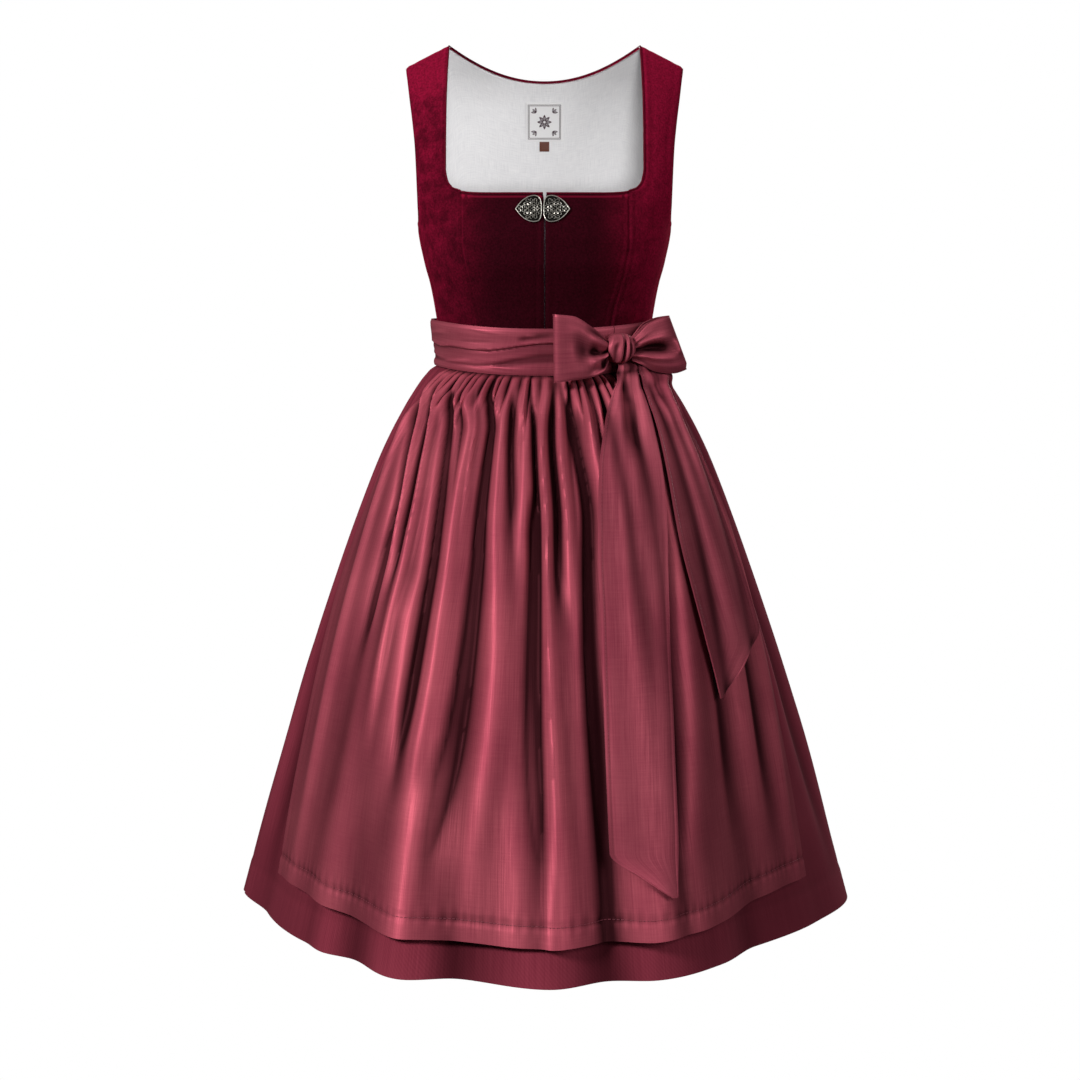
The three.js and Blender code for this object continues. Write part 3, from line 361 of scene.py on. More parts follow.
# lining cotton: plain weave, pale grey-white and matt; threads drawn 0.9 mm apart so that they show
lining_cotton, tree, where = new_material("pale plain-weave lining cotton")
threads = []
for scale in ((1100, 60, 1), (60, 1100, 1)):
    stretched = add_node(tree, "Mapping", {"Vector": (where, "UV"), "Scale": scale})
    threads.append(add_node(tree, "TexNoise", {"Vector": stretched, "Scale": 1.0, "Detail": 2}))
weave = add_node(tree, "Math", {0: threads[0], 1: threads[1]}, operation="ADD")
thread_tone = add_node(tree, "MapRange", {"Value": weave, "From Min": 0.6, "From Max": 1.4})
cotton = add_node(
    tree, "Mix", {0: thread_tone, 6: linear("#e2e1e3"), 7: linear("#f7f6f6")}, data_type="RGBA"
)
weave_bump = add_node(tree, "Bump", {"Strength": 0.25, "Distance": 0.0003, "Height": weave})
cotton_surface = {
    "Base Color": cotton,
    "Roughness": 0.92,
    "Specular IOR Level": 0.2,
    "Sheen Weight": 0.12,
    "Normal": weave_bump,
}
finished(tree, cotton_surface)

torso_sections = columns(
    "z half_width front back",
    [
        (-356, 116.5, 97, 88),
        (-320, 117, 98, 86),
        (-290, 121, 103, 87),
        (-260, 126.5, 112, 90),
        (-235, 133, 119, 93),
        (-215, 137.5, 119, 95),
        (-192, 141.5, 113, 97),
        (-165, 152, 104, 98),
        (-130, 156.5, 92, 95),
        (0, 160, 0, 0),
    ],
)
shoulder_profile = columns(
    "drop front back",
    [
        (0, 0, 0),
        (1.6, 7, 7),
        (6, 14, 15),
        (16, 25, 30),
        (35, 43, 56),
        (60, 61, 76),
        (95, 79, 89),
        (130, 92, 95),
        (166, 104, 98),
        (192, 113, 97),
    ],
)


def torso_half_width(z):
    return read(torso_sections, "z", z, "half_width")


def shoulder_line(x):
    beyond_neck = (np.abs(x) - NECK_HALF_WIDTH) / (SHOULDER_HALF_WIDTH - NECK_HALF_WIDTH)
    return -SHOULDER_FALL * np.maximum(0, beyond_neck)


def torso_y(x, z, facing):
    side = "front" if facing < 0 else "back"
    drop = np.maximum(0, shoulder_line(x) * smooth((z - UNDERARM_Z) / -UNDERARM_Z) - z)
    low = read(torso_sections, "z", z, side)
    depth = np.where(z < UNDERARM_Z, low, read(shoulder_profile, "drop", drop, side))
    across = np.clip(np.abs(x) / torso_half_width(z) + AT_SEAM, 0, 1)
    return facing * np.maximum(SEAM_GAP / 2, depth * (1 - across**ROUNDNESS) ** (1 / ROUNDNESS))


def torso_normal(x, z, facing):
    """Outward, level with the floor at the side seam and square to the shoulder seam on that seam."""
    room_aside = torso_half_width(z) - np.abs(x)
    room_above = shoulder_line(x) - z
    step = np.clip(0.5 * room_aside, 0.01, 0.5)
    above, below = np.clip(room_above, 0, 0.4), 0.4
    slope_x = (torso_y(x + step, z, facing) - torso_y(x - step, z, facing)) / (2 * step)
    slope_z = (torso_y(x, z + above, facing) - torso_y(x, z - below, facing)) / (above + below)
    normal = np.stack([slope_x, -np.ones_like(slope_x), slope_z]) * -facing
    at_side = np.abs(x) > 0.995 * torso_half_width(z)
    normal = np.where(at_side, np.stack([np.sign(x), 0 * x, 0 * x]), normal)
    falling = np.abs(x) > NECK_HALF_WIDTH
    tilt = np.sign(x) * falling * SHOULDER_FALL / (SHOULDER_HALF_WIDTH - NECK_HALF_WIDTH)
    normal = np.where(room_above < 0.5, np.stack([tilt, 0 * x, 1 + 0 * x]), normal)
    return normal / np.linalg.norm(normal, axis=0)


def torso(x, z, facing, offset=0.0):
    """Points of the torso at side-to-side place x and height z, moved out by offset."""
    x, z = np.broadcast_arrays(np.asarray(x, float), np.asarray(z, float))
    return np.stack([x, torso_y(x, z, facing), z]) + torso_normal(x, z, facing) * offset


def waist_line(x, facing):
    dip = WAIST_FRONT_DIP * (1 - np.clip(np.abs(x) / torso_half_width(WAIST_Z), 0, 1) ** 2)
    return WAIST_Z - (dip if facing < 0 else 0 * dip)


princess_seam = columns(
    "z x", [(-356, 67), (-320, 69), (-290, 73), (-260, 81), (-235, 87), (-215, 90), (-162, 90)]
)
OPENING_GAP = 0.7
NOTCH_HALF_WIDTH = 1.8
NOTCH_DEPTH = 9
PLACKET = 8
NECK_CORNER_RISE = 2.2
SIDE_FRONT_LENGTH = 330


def princess_x(z):
    return read(princess_seam, "z", z, "x")


def opening_x(z):
    in_notch = np.clip((z - FRONT_NECK_Z + NOTCH_DEPTH) / NOTCH_DEPTH, 0, 1)
    return mix(OPENING_GAP, NOTCH_HALF_WIDTH, in_notch)


def sewn_edge(distance):
    """A seam draws the velvet in, and the edge of its allowance shows as a faint second line."""
    return -0.9 * bump_at(distance, 1.6) - 0.35 * bump_at(distance - 6.5, 1.4)


def turned_edge(distance, roll=1.3):
    """An edge turned in over itself is round, with a soft dip where the turning ends."""
    return -roll * (1 - smooth(distance / 4.5)) ** 1.5 - 0.3 * bump_at(distance - 9, 2.5)


def front_neck_z(share):
    return FRONT_NECK_Z + NECK_CORNER_RISE * share**9


# creases of the worn velvet, in millimetres from the centre front and in height
front_creases = [
    (14, -330, 52, -305, 6, 0.7),
    (20, -318, 62, -286, 5, -0.6),
    (66, -262, 30, -236, 12, 0.8),
    (80, -300, 104, -322, 5, -0.8),
    (84, -286, 112, -300, 5, 0.7),
    (96, -226, 128, -204, 7, -0.9),
    (100, -250, 132, -238, 8, 0.7),
    (118, -128, 136, -104, 5, -0.5),
]


def centre_front(side):
    def place(u, v):
        column = crowded(1 - u if side < 0 else u, 0.6)
        bottom = waist_line(princess_x(WAIST_Z) * column, -1) + SEAM_GAP / 2
        z = mix(bottom, front_neck_z(column), crowded(v))
        x = mix(opening_x(z), princess_x(z) - SEAM_GAP / 2, column)
        from_opening = x - opening_x(z)
        offset = sewn_edge(princess_x(z) - x) + turned_edge(from_opening, 0.8)
        offset += turned_edge(front_neck_z(column) - z) + creases(front_creases, x, z)
        if side < 0:
            offset -= 0.5 * bump_at(from_opening - PLACKET, 1.0)
        return torso(side * x, z, -1, offset)

    return place


for side, word in ((-1, "right"), (1, "left")):
    node = f"bodice_front_centre_{word}"
    panel = cloth(f"{node}_velvet", 64, 100, centre_front(side), (0.095, 0.2), VELVET, velvet, lining_cotton)
    stands_for(panel, "velvet", node)

# heights of the princess seam, then the inner and outer edge of the strap from the neckline's corner up
seam_heights = [-353, -320, -290, -262, -238, -216, -190, -176, -161.8]
seam_outer = [(None, z) for z in (-347, -320, -290, -262, -238, -216, -196)] + [(139, -191), (138.5, -181)]
strap_edges = columns(
    "inner_x inner_z outer_x outer_z",
    [
        (98.5, -158, 138.6, -168),
        (104.6, -149.8, 139, -156),
        (107, -136, 139.5, -142),
        (107, -100, 141.2, -112),
        (106.9, -66, 144.5, -82),
        (106.3, -38, 148, -57),
        (105.7, -17, 150.3, -39),
        (105.2, -6, 151.6, -29.5),
        (105, -1.6, 152, -25.6),
        (105, 0, 152, -24),
    ],
)
SIDE_SEAM_TOP = -196


def by_length(table, *edges):
    """Adds the column run to a table: the share of the mean length of these edges up to each row."""
    lengths = [np.linalg.norm(np.diff(edge, axis=1), axis=0) for edge in edges]
    run = np.concatenate([[0], np.cumsum(np.mean(lengths, axis=0))])
    table["run"] = run / run[-1]
    return table


side_front_rows = columns(
    "inner_x inner_z outer_x outer_z",
    [
        (princess_x(z) + SEAM_GAP / 2, z, torso_half_width(outer_z) if outer_x is None else outer_x, outer_z)
        for z, (outer_x, outer_z) in zip(seam_heights, seam_outer)
    ]
    + list(zip(*strap_edges.values())),
)
by_length(
    side_front_rows,
    torso(side_front_rows["inner_x"], side_front_rows["inner_z"], -1),
    torso(side_front_rows["outer_x"], side_front_rows["outer_z"], -1),
)
CORNER_RUN = side_front_rows["run"][len(seam_heights) - 1]


def side_front(side):
    def place(u, v):
        column = crowded(1 - u if side < 0 else u, 0.6)
        run = crowded(v, 0.25)
        inner_x, inner_z, outer_x, outer_z = (
            read(side_front_rows, "run", run, name) for name in ("inner_x", "inner_z", "outer_x", "outer_z")
        )
        outer_x = np.where(outer_z < SIDE_SEAM_TOP, torso_half_width(outer_z), outer_x)
        x, z = mix(inner_x, outer_x, column), mix(inner_z, outer_z, column)
        z += (waist_line(x, -1) + SEAM_GAP / 2 - z) * (1 - smooth(run / 0.06))
        width = outer_x - inner_x
        below_neck = 1 - smooth((run - CORNER_RUN) / 0.02)
        below_arm = smooth((SIDE_SEAM_TOP - outer_z) / 8)
        inner_edge = mix(turned_edge(column * width, 1.6), sewn_edge(column * width), below_neck)
        aside = (1 - column) * width
        outer_edge = mix(turned_edge(aside), sewn_edge(aside * 1.6), below_arm)
        shoulder = sewn_edge((1 - run) * SIDE_FRONT_LENGTH)
        offset = inner_edge + outer_edge + shoulder + creases(front_creases, x, z)
        return torso(side * x, z, -1, offset)

    return place


for side, word in ((-1, "right"), (1, "left")):
    node = f"bodice_side_front_{word}"
    panel = cloth(f"{node}_velvet", 48, 170, side_front(side), (0.08, 0.4), VELVET, velvet, lining_cotton)
    stands_for(panel, "velvet", node)

# Back of the bodice. One plain piece of velvet from side seam to side seam and up to the shoulder seams,
# with its own lining of pale cotton, the part of it that shows through the neckline.
LINING = 1.0
LINING_GAP = 0.5
BACK_NECK_DROP = 35
BACK_LENGTH = 310
LINING_EDGE = 0.975
LINING_TOP = 0.995
RIPPLE_RISE = 0.25
back_edge = columns(
    "share x z",
    [
        (0, 0, -347),
        (0.1, 0, -320),
        (0.19, 0, -290),
        (0.28, 0, -262),
        (0.36, 0, -238),
        (0.43, 0, -216),
        (0.5, 0, -196),
        (0.55, 139, -190),
        (0.62, 138, -174),
        (0.71, 138.4, -140),
        (0.81, 141, -104),
        (0.9, 145.5, -70),
        (0.96, 149.6, -41),
        (0.987, 151.2, -30),
        (1, 152, -24),
    ],
)
side_seam = back_edge["z"] <= SIDE_SEAM_TOP
back_edge["x"] = np.where(side_seam, torso_half_width(back_edge["z"]), back_edge["x"])


def back_neck_z(x):
    return -BACK_NECK_DROP * np.maximum(0, 1 - (np.abs(x) / NECK_HALF_WIDTH) ** 2)


def back_top_z(x):
    return np.where(np.abs(x) < NECK_HALF_WIDTH, back_neck_z(x), shoulder_line(x))


by_length(
    back_edge,
    torso(back_edge["x"], back_edge["z"], 1),
    torso(0, mix(WAIST_Z, -BACK_NECK_DROP, back_edge["share"]), 1),
)

# creases of the back, in millimetres from the centre back and in height
back_creases = [
    (-96, -318, -40, -296, 6, 0.9),
    (-90, -300, -30, -280, 6, -0.8),
    (36, -322, 92, -300, 6, -0.9),
    (28, -300, 96, -276, 7, 0.9),
    (-124, -206, -70, -180, 9, 1.0),
    (-126, -190, -84, -158, 7, -0.8),
    (82, -176, 126, -206, 9, 0.9),
    (74, -150, 124, -180, 8, -0.8),
    (-60, -120, 10, -104, 14, 0.7),
]


def back_place(column, run):
    edge_z = read(back_edge, "run", run, "z")
    edge_x = read(back_edge, "run", run, "x")
    edge_x = np.where(edge_z < SIDE_SEAM_TOP, torso_half_width(edge_z), edge_x)
    share = read(back_edge, "run", run, "share")
    middle_z = mix(WAIST_Z, back_top_z(SHOULDER_HALF_WIDTH * column), share)
    near_arm = smooth((np.abs(column) - 0.5) / 0.5) * (1 - smooth((share - 0.9) / 0.1))
    return edge_x * column, mix(middle_z, edge_z, near_arm), edge_x, share


def back_velvet(u, v):
    column = 1 - 2 * crowded(u, 0.4)
    run = crowded(v, 0.4)
    x, z, edge_x, share = back_place(column, run)
    aside = (1 - np.abs(column)) * edge_x
    below_arm = smooth((0.5 - share) / 0.03)
    sides = mix(turned_edge(aside), sewn_edge(aside * 1.6), below_arm)
    top = (1 - share) * BACK_LENGTH
    over_neck = smooth((NECK_HALF_WIDTH + 2 - np.abs(x)) / 4)
    offset = sides + mix(sewn_edge(top), turned_edge(top), over_neck) + creases(back_creases, x, z)
    return torso(x, z + SEAM_GAP / 2 * (1 - share), 1, offset)


panel = cloth("bodice_back_velvet", 130, 120, back_velvet, (0.36, 0.36), VELVET, velvet, lining_cotton)
stands_for(panel, "velvet", "bodice_back")

LINING_RUN = np.interp(LINING_TOP, back_edge["share"], back_edge["run"])


def back_lining(u, v):
    column = LINING_EDGE * (1 - 2 * u)
    x, z, _, share = back_place(column, LINING_RUN * v)
    ripple = RIPPLE_RISE * np.sin(x / 9 + 1.7 * np.sin(z / 31)) * smooth(share * 4)
    return torso(x, z + 4 * (1 - share), 1, -VELVET - LINING_GAP + ripple - RIPPLE_RISE)


lining = cloth("back_lining_cotton", 80, 80, back_lining, (0.36, 0.35), LINING, lining_cotton)
stands_for(lining, "lining", "back_lining")

# Neck piping. A bias strip folded round a cord and sewn to the whole edge of the neckline, from the
# opening round the back to the opening again.
PIPING_RADIUS = 0.95
PIPING_SPACE = 0.45


def wire(name, paths, radius, look, sides=3):
    """Round cords or wires along these paths, as one mesh. Each path has three rows, in millimetres."""
    bpy.ops.object.select_all(action="DESELECT")
    curve = bpy.data.curves.new(name, "CURVE")
    curve.dimensions = "3D"
    curve.bevel_depth = radius * MM
    curve.bevel_resolution = sides
    curve.use_fill_caps = True
    for path in paths:
        spline = curve.splines.new("POLY")
        spline.points.add(path.shape[1] - 1)
        points = np.column_stack([path.T * MM, np.ones(path.shape[1])])
        spline.points.foreach_set("co", points.ravel())
    made = bpy.data.objects.new(name, curve)
    bpy.context.collection.objects.link(made)
    bpy.context.view_layer.objects.active = made
    made.select_set(True)
    bpy.ops.object.convert(target="MESH")
    made = bpy.context.object
    made.data.materials.clear()
    made.data.materials.append(look)
    bpy.ops.object.shade_smooth_by_angle(angle=SMOOTH_ANGLE)
    return made


# piping: a dark bias strip of satin, with the slanting threads of the bias drawn 1.5 mm apart
piping_satin = two_tone(
    "dark wine bias satin",
    "TexWave",
    {"Scale": 210, "Distortion": 1.5, "Detail": 1},
    "#480716",
    "#680c24",
    {"Roughness": 0.85, "Specular IOR Level": 0.05},
    raised=0.3,
    bands_direction="DIAGONAL",
)


def half_neckline():
    """The neckline from the opening to the centre back: the middle of the cloth's edge, and its normal."""
    share = np.linspace(0, 1, 40)
    z = front_neck_z(share)
    front = (mix(opening_x(z), princess_x(z), share), z)
    run = np.linspace(CORNER_RUN, 1, 90)[1:]
    strap = (read(side_front_rows, "run", run, "inner_x"), read(side_front_rows, "run", run, "inner_z"))
    back_x = NECK_HALF_WIDTH * np.cos(np.linspace(0, math.pi / 2, 50))[1:]
    parts = [(*front, -1), (*strap, -1), (back_x, back_neck_z(back_x), 1)]
    middle = np.hstack([torso(x, z, facing, -VELVET / 2) for x, z, facing in parts])
    normal = np.hstack([torso_normal(x, z, facing) for x, z, facing in parts])
    return middle, normal


middle, normal = half_neckline()
mirror = np.array([[-1], [1], [1]])
middle = np.hstack([middle * mirror, middle[:, -2::-1]])
normal = np.hstack([normal * mirror, normal[:, -2::-1]])
tangent = np.gradient(middle, axis=1)
away = np.cross(tangent, normal, axis=0)
away /= np.linalg.norm(away, axis=0)
piping = wire("neck_piping_cord", [middle + away * PIPING_SPACE], PIPING_RADIUS, piping_satin, 4)
stands_for(piping, "piping", "neck_piping")

# Zip. A hidden zip closes the centre front: a woven tape on each side, and a coil of teeth in the middle,
# of which only a thin grey line shows between the two velvet edges.
ZIP_HALF_WIDTH = 7
ZIP_GAP = 1.1
TOOTH_PITCH = 1.5
TOOTH_HALF_WIDTH = 1.7
TOOTH_RADIUS = 0.45
ZIP_BOTTOM = WAIST_Z - WAIST_FRONT_DIP + 1
ZIP_TOP = FRONT_NECK_Z - 6

# zip tape: polyester, woven in narrow ribs along its length
zip_tape = two_tone(
    "woven polyester zip tape", "TexWave", {"Scale": 260}, "#3d2b33", "#5a434d", {"Roughness": 0.7},
    read_from="UV", bands_direction="X",
)

# teeth: a coil of nylon, grey with a silvery gloss
nylon = two_tone("grey nylon coil", "TexNoise", {"Scale": 300}, "#77717a", "#a39ea6", {"Roughness": 0.35})


def tape_place(u, v):
    return torso(ZIP_HALF_WIDTH * (2 * u - 1), mix(ZIP_BOTTOM, ZIP_TOP, v), -1, -VELVET - ZIP_GAP)


tape = cloth("front_zip_tape", 12, 60, tape_place, (0.014, 0.185), 1.0, zip_tape)
stands_for(tape, "zip_tape", "front_zip")
teeth = []
for number, z in enumerate(np.arange(ZIP_BOTTOM + 4, ZIP_TOP - 3, TOOTH_PITCH)):
    side = 1 if number % 2 else -1
    x = side * np.array([-0.5, 0.2, 1.0, TOOTH_HALF_WIDTH])
    teeth.append(torso(x, z, -1, -VELVET - ZIP_GAP + np.array([0.5, 0.75, 0.6, 0.2])))
coil = wire("front_zip_teeth", teeth, TOOTH_RADIUS, nylon, 1)
stands_for(coil, "zip_tape")

# Clasp. Two cast plates, round where they meet and pointed at the far end, with a raised rim and rows of
# small open scrolls inside it. White metal, blackened and then polished on the high places.
CLASP_LENGTH = 29
CLASP_HALF_HEIGHT = 15
CLASP_Z = -181
CLASP_SHIFT = -2.2
CLASP_SEAT = 12
PLATE_LOW = 0.7
PLATE_THICKNESS = 0.9
RIM_RADIUS = 0.5
RIM_LEVEL = 1.9
DOME_RISE = 0.4
DOME_MIDDLE = 11
DOME_REACH = 10
SCROLL_RADIUS = 0.36
SCROLL_LEVEL = 1.95
SCROLL_SIZE = 1.85
SCROLL_TURNS = 0.85
SCROLL_PITCH = 4.3
SCROLL_ROOM = 2.2
SCROLL_ROWS = 6
SCROLL_COLUMNS = 11
SCROLL_FIRST_X = 3.1
SCROLL_FIRST_ROW = 0.42
SCROLL_ROW_STEP = 0.88

# polished white metal: bright where it is rubbed, with grey tarnish in patches about 3 mm wide
old_silver, tree, where = new_material("polished antique white metal")
tarnish = add_node(tree, "TexNoise", {"Vector": (where, "Object"), "Scale": 380, "Detail": 4})
metal = add_node(tree, "Mix", {0: tarnish, 6: linear("#928e86"), 7: linear("#e6e2d8")}, data_type="RGBA")
gloss = add_node(
    tree, "MapRange", {"Value": tarnish, "From Min": 0.3, "From Max": 0.7, "To Min": 0.5, "To Max": 0.26}
)
cast_bump = add_node(tree, "Bump", {"Strength": 0.2, "Distance": 0.0002, "Height": tarnish})
finished(tree, {"Base Color": metal, "Metallic": 1.0, "Roughness": gloss, "Normal": cast_bump})

# blackened ground: the same metal left dark behind the scrolls, dull and almost black
black_silver = two_tone(
    "blackened white metal", "TexNoise", {"Scale": 500, "Detail": 3}, "#060605", "#201e1b",
    {"Metallic": 0.3, "Roughness": 0.8, "Specular IOR Level": 0.05},
)


def bezier(a, b, c, d, count):
    t = np.linspace(0, 1, count)[:, None]
    a, b, c, d = (np.array(p, float) for p in (a, b, c, d))
    return a * (1 - t) ** 3 + 3 * b * t * (1 - t) ** 2 + 3 * c * t * t * (1 - t) + d * t**3


def clasp_outline(inset):
    """The plate's outline, moved in by inset, from the middle of its round side and once round."""
    tall = CLASP_HALF_HEIGHT
    upper = np.vstack(
        [
            bezier((0.7, 0), (0.7, 9), (1.6, tall), (9, tall), 16),
            bezier((9, tall), (16.5, tall), (23.5, 9.5), (CLASP_LENGTH, 0), 22)[1:],
        ]
    )
    whole = np.vstack([upper, (upper * (1, -1))[-2:0:-1]])
    run = np.roll(whole, -1, axis=0) - np.roll(whole, 1, axis=0)
    inward = np.column_stack([run[:, 1], -run[:, 0]])
    return whole + inset * inward / np.linalg.norm(inward, axis=1)[:, None]


def scroll(x, y, start, hand):
    """A small spiral, open in the middle."""
    s = np.linspace(0, 1, 22)
    angle = math.radians(start) + hand * 2 * math.pi * SCROLL_TURNS * s
    r = SCROLL_SIZE * (1 - 0.3 * s)
    return np.column_stack([x + r * np.cos(angle), y + r * np.sin(angle)])


def clasp_scrolls():
    """Rows of small scrolls that fill the upper half inside the rim, and the lower half's, mirrored."""
    outline = clasp_outline(0)
    edge_x, edge_y = outline[:len(outline) // 2 + 1].T
    lines = []
    for row in range(SCROLL_ROWS):
        y = SCROLL_PITCH * (SCROLL_FIRST_ROW + SCROLL_ROW_STEP * row)
        for column in range(SCROLL_COLUMNS):
            x = SCROLL_FIRST_X + SCROLL_PITCH * (column + 0.5 * (row % 2))
            room = np.min(np.linalg.norm(outline - (x, y), axis=1))
            if y < np.interp(x, edge_x, edge_y) and room > SCROLL_ROOM:
                lines.append(scroll(x, y, 80 * row + 145 * column, 1 if column % 2 else -1))
    return lines + [line * (1, -1) for line in lines]


def clasp_half(word, side):
    seat = side * CLASP_SEAT + CLASP_SHIFT
    out = torso_normal(np.array([seat]), np.array([float(CLASP_Z)]), -1)[:, 0]
    across = np.array([1, 0, 0]) - out * out[0]
    across /= np.linalg.norm(across)
    up = np.cross(out, across)
    middle = torso(seat, CLASP_Z, -1) - across * side * CLASP_SEAT

    def lifted(flat, level):
        x, y = side * flat[:, :1], flat[:, 1:]
        dome = DOME_RISE * bump_at(flat[:, :1] - DOME_MIDDLE, DOME_REACH) * bump_at(y, DOME_REACH)
        return (middle + across * x + up * y + out * (level + dome)).T

    rim = clasp_outline(RIM_RADIUS)
    rim_path = lifted(np.vstack([rim, rim[:2]]), RIM_LEVEL)
    scrolls = [lifted(line, SCROLL_LEVEL) for line in clasp_scrolls()]
    metal = [
        wire(f"rim_{word}", [rim_path], RIM_RADIUS, old_silver, 3),
        wire(f"scrolls_{word}", scrolls, SCROLL_RADIUS, old_silver, 2),
    ]
    ground = clasp_outline(0.3)
    bpy.ops.object.select_all(action="DESELECT")
    bpy.ops.mesh.primitive_circle_add(vertices=len(ground), radius=1, fill_type="NGON")
    plate = bpy.context.object
    around = ground if side > 0 else ground[::-1]
    plate.data.vertices.foreach_set("co", (lifted(around[::-1], PLATE_LOW + PLATE_THICKNESS).T * MM).ravel())
    plate.data.materials.append(black_silver)
    wall = plate.modifiers.new("thickness", "SOLIDIFY")
    wall.thickness = PLATE_THICKNESS * MM
    wall.offset = -1
    bpy.ops.object.modifier_apply(modifier=wall.name)
    bpy.ops.object.select_all(action="DESELECT")
    for piece in metal + [plate]:
        piece.select_set(True)
    bpy.context.view_layer.objects.active = plate
    bpy.ops.object.join()
    plate.name = f"clasp_{word}_scrollwork"
    bpy.ops.object.transform_apply(location=True, rotation=True, scale=True)
    return plate


for side, word in ((-1, "right"), (1, "left")):
    stands_for(clasp_half(word, side), "antique_silver", f"clasp_{word}")

# Label and size tab. Woven tapes sewn to the back lining below the neckline. The label has a woven border,
# one small flower and a sprig of leaves in each corner, and the tab is bare.
LABEL_HALF_WIDTH = 21
LABEL_TOP = -54
LABEL_BOTTOM = -98
LABEL_TAPE = 0.8
TAB_HALF_WIDTH = 5.5
TAB_TOP = -98.5
TAB_BOTTOM = -109.5
TAB_TAPE = 0.7
TAPE_SPACE = 1.1
TAPE_FACE = -VELVET - LINING_GAP - LINING - TAPE_SPACE
FLOWER_Z = -76
PETALS = 8
PETAL_LENGTH = 8
LEAF_LENGTH = 5.5
SPRIG_ASIDE = 9.5
SPRIG_UP = 10.5
BORDER_INSETS = (2.6, 3.8)
EMBROIDERY_RADIUS = 0.28

# woven tapes: fine ribs across them, drawn 1 mm apart, with a faint gloss
white_tape, rust_tape = (
    two_tone(
        name, "TexWave", {"Scale": 320}, dark, light, {"Roughness": 0.6}, raised=0.2, read_from="UV",
        bands_direction="Y",
    )
    for name, dark, light in (
        ("white damask tape", "#e4e3e4", "#f7f6f5"),
        ("rust brown woven tape", "#4b1f0e", "#6d321a"),
    )
)

# embroidery thread: dark plum rayon, slightly glossy, with a change of tone along it
plum_thread = two_tone(
    "plum rayon thread", "TexNoise", {"Scale": 400}, "#35202a", "#5d4450", {"Roughness": 0.4}
)


def patch(half_width, top, bottom, thickness):
    """A tape against the inside of the back, which faces the front."""

    def place(u, v):
        x, z = half_width * (2 * u - 1), mix(bottom, top, v)
        edge = np.minimum(np.minimum(u, 1 - u) * 2 * half_width, np.minimum(v, 1 - v) * (top - bottom))
        curl = 0.35 * (1 - smooth(edge / 2.5))
        return torso(x, z, 1, TAPE_FACE - thickness + curl)

    return place


label = cloth(
    "label_tape", 40, 42, patch(LABEL_HALF_WIDTH, LABEL_TOP, LABEL_BOTTOM, LABEL_TAPE), (0.042, 0.044),
    LABEL_TAPE, white_tape,
)
stands_for(label, "label_tape", "label")
tab = cloth(
    "size_tab_tape", 12, 12, patch(TAB_HALF_WIDTH, TAB_TOP, TAB_BOTTOM, TAB_TAPE), (0.011, 0.011),
    TAB_TAPE, rust_tape,
)
stands_for(tab, "tab_tape", "size_tab")


def on_label(x, z, proud=0.1):
    return torso(np.asarray(x, float), np.asarray(z, float), 1, TAPE_FACE - LABEL_TAPE - proud)


def vein(x, z, length, turn, bow, s):
    """A curved thread of a petal or leaf that grows from x, z, which count from the flower's middle."""
    along, beside = length * s, bow * np.sin(math.pi * s)
    across = along * math.cos(turn) - beside * math.sin(turn)
    return on_label(x + across, FLOWER_Z + z + along * math.sin(turn) + beside * math.cos(turn))


embroidered = []
for inset in BORDER_INSETS:
    side_x, high, low = LABEL_HALF_WIDTH - inset, LABEL_TOP - inset, LABEL_BOTTOM + inset
    corners = [(-side_x, low), (side_x, low), (side_x, high), (-side_x, high), (-side_x, low)]
    for (x0, z0), (x1, z1) in zip(corners, corners[1:]):
        embroidered.append(on_label(np.linspace(x0, x1, 12), np.linspace(z0, z1, 12)))
for number in range(PETALS):
    for bow in (-1.5, -0.8, 0, 0.8, 1.5):
        turn = 2 * math.pi * number / PETALS
        embroidered.append(vein(0, 0, PETAL_LENGTH, turn, bow, np.linspace(0.18, 1, 9)))
for side, height in ((-1, -1), (-1, 1), (1, -1), (1, 1)):
    for lean in (-40, 0, 40):
        turn = math.atan2(height, side) + math.radians(lean)
        for bow in (-0.9, 0, 0.9):
            sprig = (side * SPRIG_ASIDE, height * SPRIG_UP)
            embroidered.append(vein(*sprig, LEAF_LENGTH, turn, bow, np.linspace(0, 1, 7)))
embroidery = wire("label_embroidery", embroidered, EMBROIDERY_RADIUS, plum_thread, 1)
stands_for(embroidery, "label_tape")
inside_neck = [lining, label, tab, embroidery]
lights_only(key, "not lit by the key light", "EXCLUDE", inside_neck)
lights_only(spot, "lit by the neckline light", "INCLUDE", inside_neck)

# Skirt. A front and a back panel of matt wine cloth, gathered into the waist seam and falling in soft
# folds to a wide hem. The side seams are pressed open.
SKIRT_CLOTH = 1.5
HEM_Z = -946
GATHER_PITCH = 7.5
SKIRT_GATHER_RISE = 4.6
SKIRT_LENGTH = 600
SKIRT_HEM = 36
SKIRT_SEAM_DEPTH = 1.2
SKIRT_MM_PER_DEGREE = 5
skirt_sections = columns(
    "t half_width front back roundness",
    [
        (0, 117, 97.5, 88.5, 2.4),
        (0.012, 124, 105, 96, 2.4),
        (0.03, 133, 115, 106, 2.38),
        (0.06, 144, 127, 119, 2.35),
        (0.1, 156, 141, 134, 2.3),
        (0.16, 174, 161, 155, 2.22),
        (0.23, 192, 181, 176, 2.14),
        (0.35, 220, 213, 209, 2.02),
        (0.5, 252, 249, 246, 2),
        (0.65, 281, 281, 278, 2),
        (0.8, 309, 312, 308, 2),
        (1, 342, 352, 342, 2),
    ],
)
